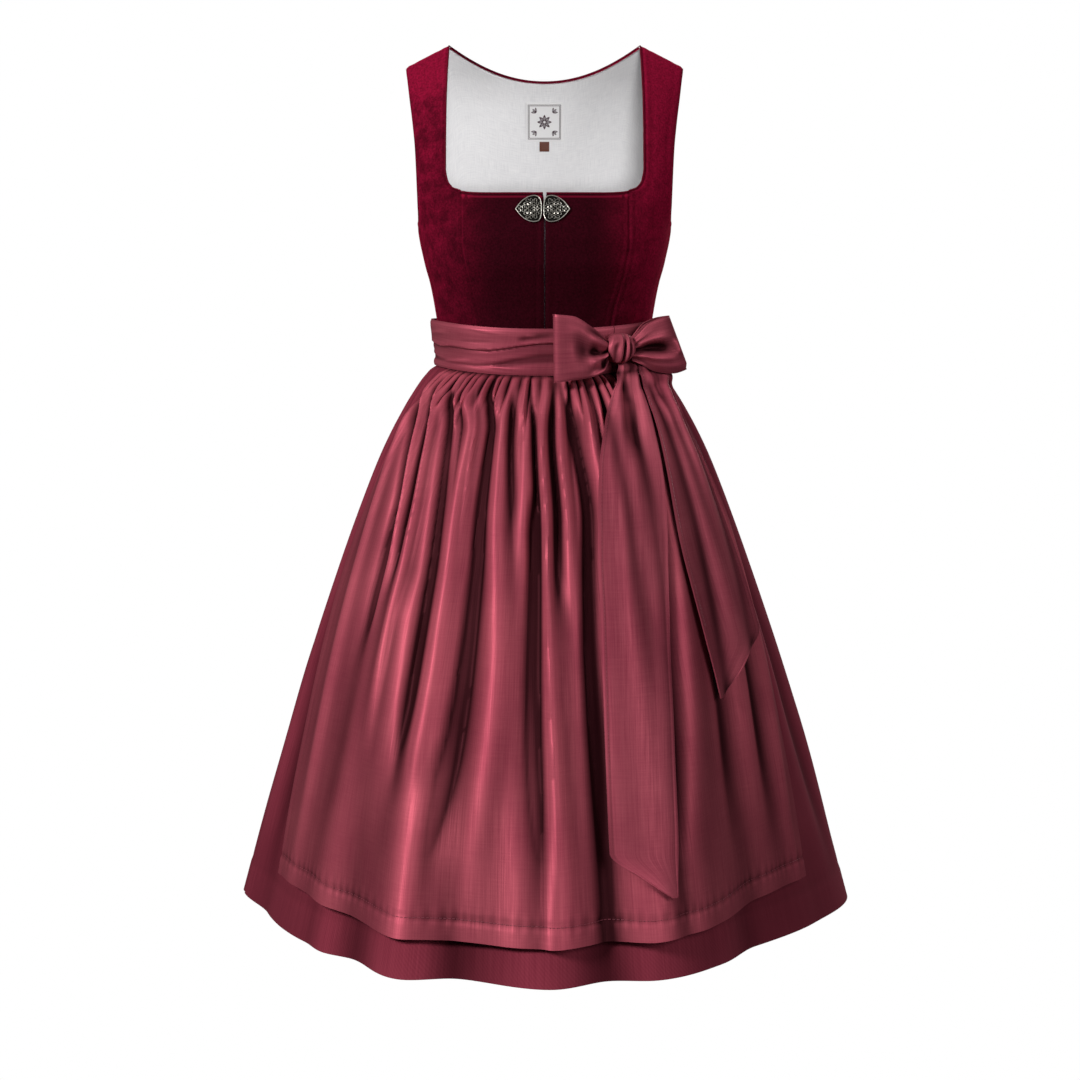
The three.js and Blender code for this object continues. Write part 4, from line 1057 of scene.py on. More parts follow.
hem_outline = columns(
    "angle offset",
    [
        (-180, 15), (-169, -9), (-155, 12), (-144, -7), (-131, 13), (-119, -11), (-106, 7),
        (-92, 1), (-74, -26), (-52, -22), (-44, -13), (-38, -17), (-24, 17), (-15, -5),
        (1, 20), (11, -3), (19, 8), (33, -12), (46, -36), (67, -24), (88, 0),
        (103, -13), (116, 11), (130, -8), (143, 13), (156, -10), (168, 6), (180, 15),
    ],
)


def signed_power(value, power):
    return np.sign(value) * np.abs(value) ** power


def round_form(angle, z, half_width, front, back, roundness, offset):
    """Points round an upright form that is half_width wide to each side and front and back deep, at these
    angles from the centre front, moved out by offset."""
    s, c = np.sin(np.radians(angle)), np.cos(np.radians(angle))
    depth = np.where(c > 0, front, back)
    x = half_width * signed_power(s, 2 / roundness)
    y = -depth * signed_power(c, 2 / roundness)
    out_x = signed_power(x / half_width, roundness - 1) / half_width
    out_y = signed_power(y / depth, roundness - 1) / depth
    length = np.hypot(out_x, out_y)
    return np.stack([x + offset * out_x / length, y + offset * out_y / length, z])


def dip_at(angle):
    return WAIST_FRONT_DIP * np.maximum(0, np.cos(np.radians(angle))) ** 2


def skirt(angle, t, offset):
    """Points of the skirt's cone. Angle 0 is the centre front, and t runs from the waist to the hem."""
    angle, t = np.broadcast_arrays(np.asarray(angle, float), np.asarray(t, float))
    sizes = (read(skirt_sections, "t", t, name) for name in ("half_width", "front", "back", "roundness"))
    return round_form(angle, mix(WAIST_Z - dip_at(angle), HEM_Z, t), *sizes, offset)


def hem_wave(angle, t):
    grown = smooth((t - 0.15) / 0.85) ** 1.3
    return grown * read(hem_outline, "angle", np.where(angle > 180, angle - 360, angle), "offset")


def gathers(run, t, rise, seed, longest):
    """Small pleats under a waist seam, one for each whole number of run: round ridges and sharp valleys,
    each with a height and a length of its own."""
    draws = np.random.default_rng(seed)
    height = draws.uniform(0.65, 1.2, 64)
    length = longest * draws.uniform(0.35, 1.0, 64)
    run = run + 0.17 * np.sin(run * 1.9) + 0.11 * np.sin(run * 4.3 + 1)
    which = np.floor(run).astype(int) % 64
    ridge = np.abs(np.sin(math.pi * run)) ** 0.85
    shown = smooth(t / 0.01) * (1 - smooth((t - 0.015) / length[which]))
    return rise * height[which] * shown * (ridge - 0.3)


def folds(table, levels, angle, t):
    """Long ridges and troughs. A row has the fold's angle at each level of t, its width in degrees to the
    right and to the left, its rise, and the part of the height where it shows."""
    total = np.zeros(np.broadcast(angle, t).shape)
    for *places, right, left, rise, start, end in table:
        track = columns("t angle", list(zip(levels, places)))
        shown = smooth((t - start) / 0.1 + 0.2) * (1 - smooth((t - end + 0.25) / 0.25))
        aside = angle - read(track, "t", t, "angle")
        width = np.where(aside < 0, right, left) * mix(0.8, 1.1, t)
        total += rise * shown * bump_at(aside, width)
    return total


# skirt cloth: matt viscose twill in dark wine, with twill lines drawn 1.4 mm apart and thicker threads,
# and painted shade in the valleys of its folds and painted highlight on their ridges
twill, tree, where = new_material("dark wine viscose twill")
grain_place = add_node(tree, "Mapping", {"Vector": (where, "UV"), "Scale": (620, 18, 1)})
grain = add_node(tree, "TexNoise", {"Vector": grain_place, "Scale": 1.0, "Detail": 3})
diagonal = add_node(
    tree, "TexWave", {"Vector": (where, "UV"), "Scale": 160, "Distortion": 0.6}, bands_direction="DIAGONAL"
)
cloud = add_node(tree, "TexNoise", {"Vector": (where, "Object"), "Scale": 7, "Detail": 3})
lines = add_node(tree, "Math", {0: (diagonal, "Fac"), 1: 0.2}, operation="MULTIPLY")
tone = add_node(tree, "Math", {0: grain, 1: lines}, operation="ADD")
tone = add_node(tree, "Math", {0: tone, 1: cloud}, operation="ADD")
tone = add_node(tree, "MapRange", {"Value": tone, "From Min": 0.7, "From Max": 1.5})
colour = add_node(tree, "Mix", {0: tone, 6: linear("#60202d"), 7: linear("#772e3b")}, data_type="RGBA")
# painted shade and highlight: the colour is darker where the cloth lies in a valley and lighter on a ridge
folded = add_node(tree, "Attribute", attribute_name="relief")
shade = {"Value": (folded, "Fac"), "From Min": -3.5, "From Max": 2.5, "To Min": 0.3, "To Max": 1.15}
shade = add_node(tree, "MapRange", shade)
colour = add_node(tree, "Mix", {0: 1.0, 6: colour, 7: shade}, data_type="RGBA", blend_type="MULTIPLY")
twill_bump = add_node(tree, "Bump", {"Strength": 0.08, "Distance": 0.0003, "Height": (diagonal, "Fac")})
twill_surface = {
    "Base Color": colour,
    "Roughness": 0.75,
    "Specular IOR Level": 0.25,
    "Specular Tint": linear("#c05060"),
    "Sheen Weight": 0.1,
    "Sheen Roughness": 0.5,
    "Sheen Tint": linear("#b03a4c"),
    "Normal": twill_bump,
}
finished(tree, twill_surface)

SKIRT_FOLD_LEVELS = (0.05, 0.45, 0.85)
back_folds = [
    (97, 96, 97, 3.0, 3.0, 4, 0.04, 0.8),
    (103, 102, 103, 2.8, 2.8, -6, 0.0, 1.1),
    (109, 111, 115, 3.4, 3.4, 7, 0.02, 1.25),
    (117, 120, 122, 2.4, 2.4, -6, 0.0, 0.75),
    (124, 126, 130, 3.2, 3.2, -7, 0.05, 1.1),
    (131, 135, 141, 3.6, 3.6, 9, 0.0, 1.25),
    (139, 142, 146, 2.2, 2.2, -5, 0.0, 0.65),
    (146, 149, 155, 3.2, 3.2, -8, 0.03, 1.1),
    (153, 157, 160, 2.8, 2.8, 6, 0.0, 0.7),
    (160, 164, 168, 3.6, 3.6, 7, 0.04, 1.2),
    (167, 170, 173, 2.6, 2.6, -8, 0.0, 1.0),
    (175, 178, 180, 3.8, 3.8, 9, 0.0, 1.25),
    (183, 186, 189, 2.6, 2.6, -8, 0.02, 1.1),
    (190, 192, 194, 2.6, 2.6, 6, 0.0, 0.6),
    (197, 200, 203, 3.6, 3.6, 9, 0.05, 1.25),
    (205, 208, 212, 2.8, 2.8, -8, 0.0, 0.95),
    (212, 214, 216, 2.4, 2.4, 5, 0.0, 0.6),
    (219, 223, 228, 3.8, 3.8, 9, 0.03, 1.25),
    (228, 232, 238, 3.0, 3.0, -8, 0.0, 1.05),
    (236, 240, 244, 2.6, 2.6, 5, 0.04, 0.7),
    (245, 249, 254, 3.6, 3.6, 7, 0.0, 1.2),
    (254, 257, 260, 2.8, 2.8, -6, 0.02, 0.9),
    (263, 264, 265, 3.0, 3.0, 4, 0.05, 0.8),
]
front_side_folds = [
    (-86, -87, -86, 3.0, 3.0, 4, 0.04, 0.9),
    (-78, -80, -80, 3.0, 3.0, -6, 0.0, 1.0),
    (-70, -74, -74, 2.8, 2.8, 4, 0.02, 0.8),
    (68, 72, 74, 2.8, 2.8, 4, 0.02, 0.8),
    (76, 79, 81, 3.0, 3.0, -6, 0.0, 1.0),
    (85, 86, 87, 3.0, 3.0, 4, 0.04, 0.9),
]


def hem_turning(from_hem):
    """The cloth is doubled at the hem, and the hem's edge shows as a faint step."""
    return 0.5 * (1 - smooth((from_hem - SKIRT_HEM + 2) / 3)) - 0.35 * bump_at(from_hem - SKIRT_HEM, 1.6)


def skirt_panel(low, high, table, facing, beside):
    def place(u, v):
        angle = mix(low, high, u)
        t = (1 - v) ** 1.25
        waves = gathers(angle / GATHER_PITCH + 40, t, SKIRT_GATHER_RISE, 5, 0.5)
        waves = waves + folds(table, SKIRT_FOLD_LEVELS, angle, t)
        from_seam = np.minimum(u, 1 - u) * (high - low) * SKIRT_MM_PER_DEGREE
        seam = -SKIRT_SEAM_DEPTH * bump_at(from_seam, 3)
        offset = hem_wave(angle, t) + waves * beside(angle) + seam + hem_turning((1 - t) * SKIRT_LENGTH)
        x, y, z = skirt(angle, t, offset)
        y = facing * np.maximum(facing * y, SEAM_GAP / 2)
        return x, y, z - SEAM_GAP / 2 * (1 - smooth(t / 0.01))

    return place


def all_round(angle):
    return 1.0


def beside_apron(angle):
    return smooth((np.abs(angle) - 60) / 10)


for word, low, high, table, facing, beside, across in [
    ("back", 90, 270, back_folds, 1, all_round, 300),
    ("front", -90, 90, front_side_folds, -1, beside_apron, 230),
]:
    node = f"skirt_{word}"
    place = skirt_panel(low, high, table, facing, beside)
    panel = cloth(f"{node}_cloth", across, 120, place, (1.1, 0.62), SKIRT_CLOTH, twill)
    stands_for(panel, "skirt_cloth", node)

# Apron. One panel of satin, gathered by 28 small pleats under the sash, with long uneven folds, narrow
# turned side edges and a hem 21 mm deep that is held by a line of stitches.
APRON_CLOTH = 1.4
APRON_BASE = 12.5
APRON_GAP = 3.2
APRON_GATHERS = 28
APRON_GATHER_RISE = 9.5
APRON_HEM = 0.934
APRON_HEM_RISE = 0.028
APRON_LENGTH = 560
HEM_STITCH = 0.963
SIDE_TURNING = 9
APRON_SPREAD = 120
APRON_RADIUS_TOP = 100
APRON_RADIUS_HEM = 340
HEM_STITCH_LENGTH = 3.0
HEM_STITCH_GAP = 1.4
HEM_THREAD_RADIUS = 0.22
apron_sides = columns(
    "t right left", [(0, -58, 57), (0.12, -63, 61), (0.4, -69, 66), (0.7, -68, 65), (1, -64, 62)]
)
APRON_FOLD_LEVELS = (0.03, 0.1, 0.25, 0.5, 0.8)
apron_folds = [
    (-66, -62, -60, -59, -58, 2.6, 2.6, 5, 0, 1.1),
    (-61, -56, -49, -50, -50, 2.2, 2.0, -9, 0, 0.55),
    (-61, -56, -49, -50, -50, 5.0, 4.0, -5, 0.25, 0.95),
    (-56, -51, -46, -47, -47, 1.2, 1.4, 5, 0, 0.5),
    (-52, -46.5, -43, -44, -44, 1.0, 1.1, -7, 0, 0.45),
    (-47, -42.5, -39.5, -40, -40, 2.0, 1.5, 7, 0, 0.7),
    (-45, -41, -38, -36, -36, 5.0, 4.5, 6, 0.35, 1.2),
    (-42, -35.5, -32, -31, -30, 1.7, 3.0, -11, 0, 0.76),
    (-36, -30.6, -28, -28, -28, 0.9, 1.2, -5, 0, 0.2),
    (-31, -24.5, -25.3, -25, -27, 3.2, 2.4, 8, 0, 0.9),
    (-21, -17.3, -18.2, -18.6, -21.5, 1.9, 3.0, -13, 0, 1.1),
    (-21, -21, -21, -21, -29, 6.0, 4.0, -6, 0.62, 1.2),
    (-16, -13.8, -13, -11, -13.5, 3.0, 3.4, 9, 0, 1.08),
    (-11, -10.3, -9, -9, -9, 1.1, 1.6, -7, 0, 0.34),
    (-8, -5.6, -5.2, -5.5, -6, 2.2, 2.0, 6, 0, 0.45),
    (-4, -2.8, -1.9, -1.9, -0.8, 0.8, 0.9, -7, 0, 0.45),
    (-4, -2.8, -1.9, -1.9, -0.8, 3.2, 1.2, -13, 0.2, 1.15),
    (-0.3, -0.8, 0.2, 1.0, 2.5, 1.1, 2.0, 8, 0, 0.95),
    (2, 1.6, 3, 2.8, 2.8, 1.4, 1.5, -9, 0, 0.48),
    (3.9, 3.6, 5.6, 7.2, 7.5, 1.4, 2.2, 7, 0, 0.5),
    (5.7, 8, 11.3, 10.2, 10.6, 1.7, 2.8, -12, 0, 1.15),
    (13, 14.3, 17, 18, 18, 2.6, 4.0, 8, 0, 1.15),
    (20, 21, 22, 22, 21, 1.6, 2.6, -7, 0, 0.6),
    (25, 25, 26, 24, 21, 2.2, 2.6, 5, 0, 1.0),
    (30, 30, 31.5, 28, 24.5, 2.0, 2.5, -10, 0, 1.12),
    (38, 37, 37, 34.5, 27.5, 3.6, 4.0, 6, 0.05, 1.1),
    (44, 45, 46, 45, 42, 2.2, 4.0, -6, 0, 0.9),
    (50, 52, 53, 52, 50, 4.0, 4.0, 5, 0, 1.1),
    (56, 58, 59, 57, 55, 2.4, 2.4, -5, 0.05, 0.9),
    (60, 62, 64, 63, 60, 2.6, 2.4, 5, 0, 1.1),
]
# finer folds between them, which start at single gathers and run out sooner
fine_folds = [
    (-35, -29, -26.5, -26, -26, 0.7, 0.9, -3.5, 0, 0.3),
    (-27, -22.5, -22.5, -22, -22, 0.8, 0.9, 3.0, 0, 0.4),
    (-16, -14.5, -14, -13, -13, 0.7, 0.9, -3.0, 0, 0.3),
    (-7, -6.6, -6.2, -6, -6, 0.6, 0.8, -3.0, 0, 0.26),
    (9, 10.5, 13, 13, 13, 0.9, 1.0, -5.0, 0, 0.16),
    (7.6, 6.6, 8.2, 8.5, 8.5, 0.6, 0.9, -3.0, 0, 0.34),
    (16.5, 17.5, 18.5, 18.5, 18, 0.9, 1.1, -3.4, 0, 0.3),
    (27.5, 27.5, 28.5, 27, 26, 0.8, 1.0, -3.2, 0, 0.4),
    (34, 34, 34.5, 32, 30, 0.8, 1.0, -3.4, 0, 0.35),
    (47.5, 48.5, 49.5, 49, 48, 1.0, 1.1, 3.0, 0, 0.35),
    (53, 55, 56, 55, 54, 0.9, 1.1, -3.2, 0, 0.4),
]


def satin_cloth(name, dark, light, glossy, reach):
    """Duchess satin: threads lie along the warp as slubs, drawn 1.3 mm wide and up to 60 mm long, and
    give it a soft, broad gloss in the dye's own colour, which is why it is part metallic; so its gloss
    also takes the painted shade. Its colour has painted shade in the valleys of its folds and painted
    highlight on their ridges; reach is the relief, in millimetres, of a whole fold, over which the painted
    shade runs from darkest to palest."""
    look, tree, where = new_material(name)
    slub_place = add_node(tree, "Mapping", {"Vector": (where, "UV"), "Scale": (760, 17, 1)})
    slubs = add_node(tree, "TexNoise", {"Vector": slub_place, "Scale": 1.0, "Detail": 3, "Roughness": 0.6})
    pick_place = add_node(tree, "Mapping", {"Vector": (where, "UV"), "Scale": (40, 900, 1)})
    picks = add_node(tree, "TexNoise", {"Vector": pick_place, "Scale": 1.0, "Detail": 1})
    cloud = add_node(tree, "TexNoise", {"Vector": (where, "Object"), "Scale": 11, "Detail": 3})
    picks_less = add_node(tree, "Math", {0: picks, 1: 0.35}, operation="MULTIPLY")
    threads = add_node(tree, "Math", {0: slubs, 1: picks_less}, operation="ADD")
    tone = add_node(tree, "Math", {0: threads, 1: cloud}, operation="ADD")
    tone = add_node(tree, "MapRange", {"Value": tone, "From Min": 0.8, "From Max": 1.55})
    colour = add_node(tree, "Mix", {0: tone, 6: linear(dark), 7: linear(light)}, data_type="RGBA")
    # painted shade in the valleys and painted highlight on the ridges, from the cloth's relief
    folded = add_node(tree, "Attribute", attribute_name="relief")
    shade = {"From Min": -reach, "From Max": 0.9 * reach, "To Min": 0.08, "To Max": 1.35}
    shade = add_node(tree, "MapRange", {"Value": (folded, "Fac"), **shade})
    colour = add_node(tree, "Mix", {0: 1.0, 6: colour, 7: shade}, data_type="RGBA", blend_type="MULTIPLY")
    bump = add_node(tree, "Bump", {"Strength": 0.22, "Distance": 0.0003, "Height": threads})
    gloss = {"From Min": 0.3, "From Max": 0.7, "To Min": glossy + 0.08, "To Max": glossy - 0.04}
    gloss = add_node(tree, "MapRange", {"Value": slubs, **gloss})
    surface = {
        "Base Color": colour,
        "Metallic": 0.3,
        "Roughness": gloss,
        "Specular IOR Level": 0.25,
        "Specular Tint": linear("#c86472"),
        "Normal": bump,
    }
    finished(tree, surface)
    return look


satin = satin_cloth("wine rose duchess satin", "#7e3341", "#984752", 0.52, 2.7)


def apron_angle(across, t):
    return mix(read(apron_sides, "t", t, "right"), read(apron_sides, "t", t, "left"), across)


def apron_hem(angle):
    return APRON_HEM - APRON_HEM_RISE * smooth((np.abs(angle) - 15) / 50)


def apron_offset(angle, t):
    right, left = read(apron_sides, "t", t, "right"), read(apron_sides, "t", t, "left")
    across = (angle - right) / (left - right)
    lifted = smooth(t / 0.06)
    body = mix(APRON_CLOTH + 0.5, APRON_BASE, lifted) + 2.5 * smooth(t / 0.01) * (1 - lifted)
    large = folds(apron_folds, APRON_FOLD_LEVELS, angle, t) * (1 - 0.6 * smooth((t - 0.6) / 0.33))
    small = folds(fine_folds, APRON_FOLD_LEVELS, angle, t)
    small = small + gathers(across * APRON_GATHERS, t, APRON_GATHER_RISE, 11, 0.15)
    least = APRON_CLOTH + mix(0.5, APRON_GAP, lifted)
    return hem_wave(angle, t) + np.maximum(least, body + large + small)


def apron_place(u, v):
    share = (1 - v) ** 1.3
    t = share * apron_hem(apron_angle(u, share))
    angle = apron_angle(u, t)
    width = np.radians(APRON_SPREAD) * mix(APRON_RADIUS_TOP, APRON_RADIUS_HEM, t)
    from_side = np.minimum(u, 1 - u) * width
    from_hem = (1 - share) * APRON_LENGTH
    turning = (1 - HEM_STITCH) * APRON_LENGTH
    doubled = 0.5 * (1 - smooth((from_hem - turning) / 1.5))
    doubled = doubled + 0.4 * (1 - smooth((from_side - SIDE_TURNING) / 1.5))
    sewn = -1.4 * bump_at(from_hem - turning, 2.0) - 0.5 * bump_at(from_side - SIDE_TURNING, 1.6)
    pucker = 0.5 * np.sin(u * 420 + 2 * np.sin(u * 61)) * bump_at(from_hem - turning, 9)
    x, y, z = skirt(angle, t, apron_offset(angle, t) + doubled + sewn + pucker)
    return x, y, z - SEAM_GAP / 2 * (1 - smooth(share / 0.01))


def painted_shade_under_sash(v, standing):
    """Between the tight gathers under the sash there is little light: the relief that drives the painted
    shade is made stronger there, and a painted shadow darkens a strip just below the sash.
    """
    near_band = 1 - smooth((1 - v) / 0.16)
    # painted shadow: the relief is lowered in the strip just below the sash, so its colour is darker
    return standing * (1 + 1.3 * near_band) - 1.6 * (1 - smooth((1 - v) / 0.045))


apron = cloth(
    "apron_satin_panel", 264, 176, apron_place, (0.76, 0.56), APRON_CLOTH, satin, deepen=painted_shade_under_sash
)
stands_for(apron, "apron_satin", "apron")


def stitches(name, path, length, gap, radius, look):
    """A line of stitches along a path that lies on the cloth, each a short piece of thread."""
    steps = np.linalg.norm(np.diff(path, axis=1), axis=0)
    run = np.concatenate([[0], np.cumsum(steps)])
    starts = np.arange(0, run[-1] - length, length + gap)
    at = starts[:, None] + np.linspace(0, length, 3)
    paths = [np.stack([np.interp(places, run, row) for row in path]) for places in at]
    return wire(name, paths, radius, look, 0)


# sewing thread: polyester in the cloth's own colour, a little lighter where it lies on top
sewing_thread = two_tone(
    "wine polyester sewing thread", "TexNoise", {"Scale": 900}, "#5a1b29", "#9a4a58", {"Roughness": 0.45}
)


def on_apron(across, share, proud):
    t = share * apron_hem(apron_angle(across, share))
    angle = apron_angle(across, t)
    return skirt(angle, t, apron_offset(angle, t) + proud)


hem_line = on_apron(np.linspace(0.012, 0.988, 900), HEM_STITCH, 0.1)
hem_thread = stitches(
    "apron_hem_stitches", hem_line, HEM_STITCH_LENGTH, HEM_STITCH_GAP, HEM_THREAD_RADIUS, sewing_thread
)
stands_for(hem_thread, "apron_satin")

# Apron waistband. A straight double band of the same satin, sewn to the gathers, with the sash over it.
BAND_CLOTH = 1.5
BAND_OFFSET = 2.5
BAND_HEIGHT = 28


def waist(angle, z, offset):
    """Points round the waist at these angles and heights, moved out by offset."""
    angle, z = np.broadcast_arrays(np.asarray(angle, float), np.asarray(z, float))
    front, back = read(torso_sections, "z", z, "front"), read(torso_sections, "z", z, "back")
    return round_form(angle, z, torso_half_width(z), front, back, ROUNDNESS, offset)


def band_place(u, v):
    angle = apron_angle(u, 0 * u)
    bottom = WAIST_Z - dip_at(angle) + SEAM_GAP
    return waist(angle, bottom + BAND_HEIGHT * v, BAND_OFFSET)


band = cloth("apron_band_satin", 80, 8, band_place, (0.25, 0.028), BAND_CLOTH, satin, turned=True)
stands_for(band, "apron_satin", "apron_band")

# Sash. The apron's two ties go round the waist over the band, each folded lengthwise into soft layers, and
# cross at the centre back, where the right one lies on top and ends in a slanting edge.
SASH_CLOTH = 1.6
SASH_HEIGHT = 50
SASH_DROP = 0.6
SASH_SEAM_ANGLE = 33
SASH_BACK_LIFT = 2.6
SASH_CROSSING = -148
SASH_RIGHT_END = -190
SASH_LEFT_END = 188
SASH_END_SLANT = 16
SASH_FACE = 5.9
LAYER_STEP = 1.7
LAYER_FOLD_DEPTH = 2.8
# the height of the upper layer's edge, and of the fold below it with its width, as shares of the sash
sash_layers = columns(
    "angle layer fold open",
    [
        (-200, 0.5, 0.2, 0.03), (-160, 0.56, 0.24, 0.06), (-120, 0.46, 0.16, 0.02), (-90, 0.5, 0.2, 0.06),
        (-63, 0.45, 0.16, 0.02), (-50, 0.485, 0.15, 0.015), (-36, 0.475, 0.15, 0.015),
        (-26, 0.49, 0.18, 0.02), (-19, 0.53, 0.22, 0.04), (-9, 0.61, 0.29, 0.07), (1, 0.67, 0.35, 0.1),
        (20, 0.7, 0.38, 0.1), (34, 0.7, 0.38, 0.09), (80, 0.5, 0.2, 0.03), (120, 0.44, 0.15, 0.06),
        (160, 0.54, 0.24, 0.03), (200, 0.48, 0.2, 0.03),
    ],
)
# creases of the ties, in millimetres round the waist from the centre front and up from the lower edge
sash_creases = [
    (-190, 14, -140, 20, 2.2, -0.8), (-150, 36, -104, 40, 2.0, 0.7), (-112, 8, -70, 12, 1.8, 0.8),
    (-16, 38, 8, 43, 3.2, -1.7), (-12, 42, -4, 41, 1.6, 0.8), (-64, 46, -30, 43, 1.6, 0.4),
    (-80, 32, -40, 34, 1.5, -0.35), (-44, 8, -14, 6, 1.6, 0.6), (92, 12, 140, 8, 2.0, 0.8),
    (100, 38, 150, 33, 2.2, -0.8), (160, 24, 210, 30, 2.2, 0.8), (-250, 30, -200, 24, 2.2, 0.8),
    (-300, 12, -240, 18, 2.2, -0.8), (220, 40, 262, 36, 2.0, 0.7),
]
MM_PER_DEGREE = 1.9

satin_tie = satin_cloth("wine rose satin of the ties", "#7e3241", "#9c4a56", 0.46, 1.7)


def sash_surface(angle, share, lift):
    layer, fold, opened = (read(sash_layers, "angle", angle, name) for name in ("layer", "fold", "open"))
    upper = LAYER_STEP * smooth((share - layer) / 0.03) * (1 - 0.5 * smooth((share - 0.8) / 0.2))
    upper = upper - 0.5 * bump_at(share - layer + 0.01, 0.02)
    sunk = -LAYER_FOLD_DEPTH * np.minimum(1, opened / 0.06) * bump_at(share - fold, 0.02 + 0.75 * opened)
    rolled = -0.6 * (1 - smooth(share / 0.06)) - 1.3 * smooth((share - 0.93) / 0.07)
    small = creases(sash_creases, angle * MM_PER_DEGREE, share * SASH_HEIGHT)
    offset = np.maximum(BAND_OFFSET + SEAM_GAP + SASH_CLOTH, SASH_FACE + upper + sunk + rolled + small)
    z = WAIST_Z - dip_at(angle) - SASH_DROP + share * SASH_HEIGHT
    return waist(angle, z, offset + lift)


def sash_right(u, v):
    share = crowded(v, 0.3)
    angle = mix(SASH_RIGHT_END + SASH_END_SLANT * (share - 0.5), SASH_SEAM_ANGLE - 0.2, u)
    return sash_surface(angle, share, SASH_BACK_LIFT * smooth((SASH_CROSSING - angle) / 12))


def sash_left(u, v):
    share = crowded(v, 0.3)
    angle = mix(SASH_SEAM_ANGLE + 0.2, SASH_LEFT_END, u)
    return sash_surface(angle, share, 0)


for word, place, length, across in (("right", sash_right, 0.46, 250), ("left", sash_left, 0.32, 160)):
    tie = cloth(f"sash_{word}_satin", across, 44, place, (length, 0.055), SASH_CLOTH, satin_tie, turned=True)
    stands_for(tie, "apron_satin", f"sash_{word}")

# Bow. The ties are knotted at the left of the front: a knot wrapped by one tie, with pleats across it, and
# two loops, each a tie folded back on itself and pinched into fans of pleats where the knot holds it.
TIE_CLOTH = 1.4
KNOT_ANGLE = 33
KNOT_Z = -332
KNOT_ACROSS = 16.5
KNOT_UP = 16
KNOT_RAISED = 4.5
KNOT_OUT = 12
KNOT_SEAT = 7.2
KNOT_WRAP = 0.985
LOOP_MOUTH = 0.13
LOOP_START = math.sin(LOOP_MOUTH) ** 0.85
on_sash = waist(KNOT_ANGLE, KNOT_Z, KNOT_SEAT)
knot_out = on_sash - waist(KNOT_ANGLE, KNOT_Z, KNOT_SEAT - 1)
knot_across = np.array([-knot_out[1], knot_out[0], 0])
knot_centre = on_sash + knot_out * (KNOT_OUT + SEAM_GAP)
# pleats of the knot: place across it at its foot and at its head, width, rise and the height where it ends
knot_pleats = [
    (-0.95, -0.75, 0.14, 1.2, 1.5),
    (-0.62, -0.34, 0.15, -2.4, 0.3),
    (-0.3, -0.1, 0.16, 1.8, 1.5),
    (0.0, 0.2, 0.08, -4.6, 0.45),
    (0.28, 0.42, 0.12, 1.6, 1.5),
    (0.58, 0.5, 0.07, -3.8, 0.35),
    (0.84, 0.76, 0.12, 1.2, 1.5),
]


def knot_place(u, v):
    aside = 2 * crowded(u, 0.4) - 1
    round_it = math.pi * KNOT_WRAP * (2 * v - 1)
    height = signed_power(np.sin(round_it), 0.8)
    depth = signed_power(np.cos(round_it), 0.72)
    in_front = smooth(depth * 2 + 0.3)
    pleats = 0 * aside
    for foot, head, width, rise, top in knot_pleats:
        line = mix(foot, head, (height + 1) / 2)
        shown = in_front * (1 - smooth((height - top) / 0.5 + 0.5))
        pleats = pleats + rise * shown * bump_at(aside - line, width)
    pinch = 1 - 0.42 * np.abs(aside) ** 3.2
    narrow = 1 - 0.3 * smooth(-0.2 - height) - 0.1 * smooth(height)
    out = np.minimum(KNOT_OUT * depth * pinch + pleats * 0.8, KNOT_OUT + 1.5)
    up = KNOT_RAISED + KNOT_UP * height * pinch
    spot = knot_centre[:, None] + knot_across[:, None] * KNOT_ACROSS * aside * narrow
    return spot + knot_out[:, None] * out + np.array([0, 0, 1])[:, None] * up


knot = cloth("bow_knot_satin", 70, 110, knot_place, (0.05, 0.11), TIE_CLOTH, satin_tie)
stands_for(knot, "apron_satin", "bow_knot")

# edge heights by p, the share of the way from the knot to the far fold, and creases in (p, height) of the
# front layer and of the back layer, each from near the knot outwards
loop_right = {
    "side": -1,
    "turn": -2,
    "reach_top": 61,
    "reach_bottom": 60,
    "belly": 12,
    "edges": columns(
        "p top bottom", [(0, 13, -9), (0.12, 19, -19), (0.35, 28, -24), (0.7, 39, -27), (1, 41, -31)]
    ),
    "front": [
        (0.0, 0.50, 0.34, 0.52, 0.10, -6.5),
        (0.25, 0.52, 0.66, 0.45, 0.15, -4.5),
        (0.0, 0.70, 0.5, 0.76, 0.08, 3.0),
        (0.0, 0.90, 0.4, 0.93, 0.05, -2.5),
        (0.02, 0.36, 0.2, 0.42, 0.07, 4.5),
        (0.2, 0.42, 0.42, 0.26, 0.09, 4.0),
        (0.02, 0.24, 0.16, 0.20, 0.09, -6.5),
        (0.08, 0.03, 0.34, 0.05, 0.06, 2.5),
        (0.5, 0.80, 0.95, 0.74, 0.10, 1.0),
    ],
    "under": 1.0,
    "back": [(0.0, 0.4, 0.5, 0.36, 0.10, 3.5), (0.0, 0.7, 0.5, 0.8, 0.09, -3.0)],
}
loop_left = {
    "side": 1,
    "turn": 6,
    "reach_top": 42,
    "reach_bottom": 66,
    "belly": 12,
    "edges": columns(
        "p top bottom", [(0, 13, -9), (0.15, 20, -12), (0.4, 31, -19), (0.75, 37, -22), (1, 39, -19)]
    ),
    "front": [
        (0.02, 0.50, 0.84, 0.48, 0.11, -7.5),
        (0.3, 0.50, 0.75, 0.48, 0.09, -3.0),
        (0.18, 0.27, 0.84, 0.31, 0.06, 3.6),
        (0.15, 0.68, 0.82, 0.65, 0.07, 2.6),
        (0.92, 0.36, 0.92, 0.60, 0.06, 2.8),
        (0.0, 0.60, 0.2, 0.58, 0.04, 1.6),
    ],
    "under": 5.0,
    "back": [(0.0, 0.4, 0.5, 0.34, 0.10, 3.5), (0.0, 0.72, 0.6, 0.82, 0.09, -3.0)],
}


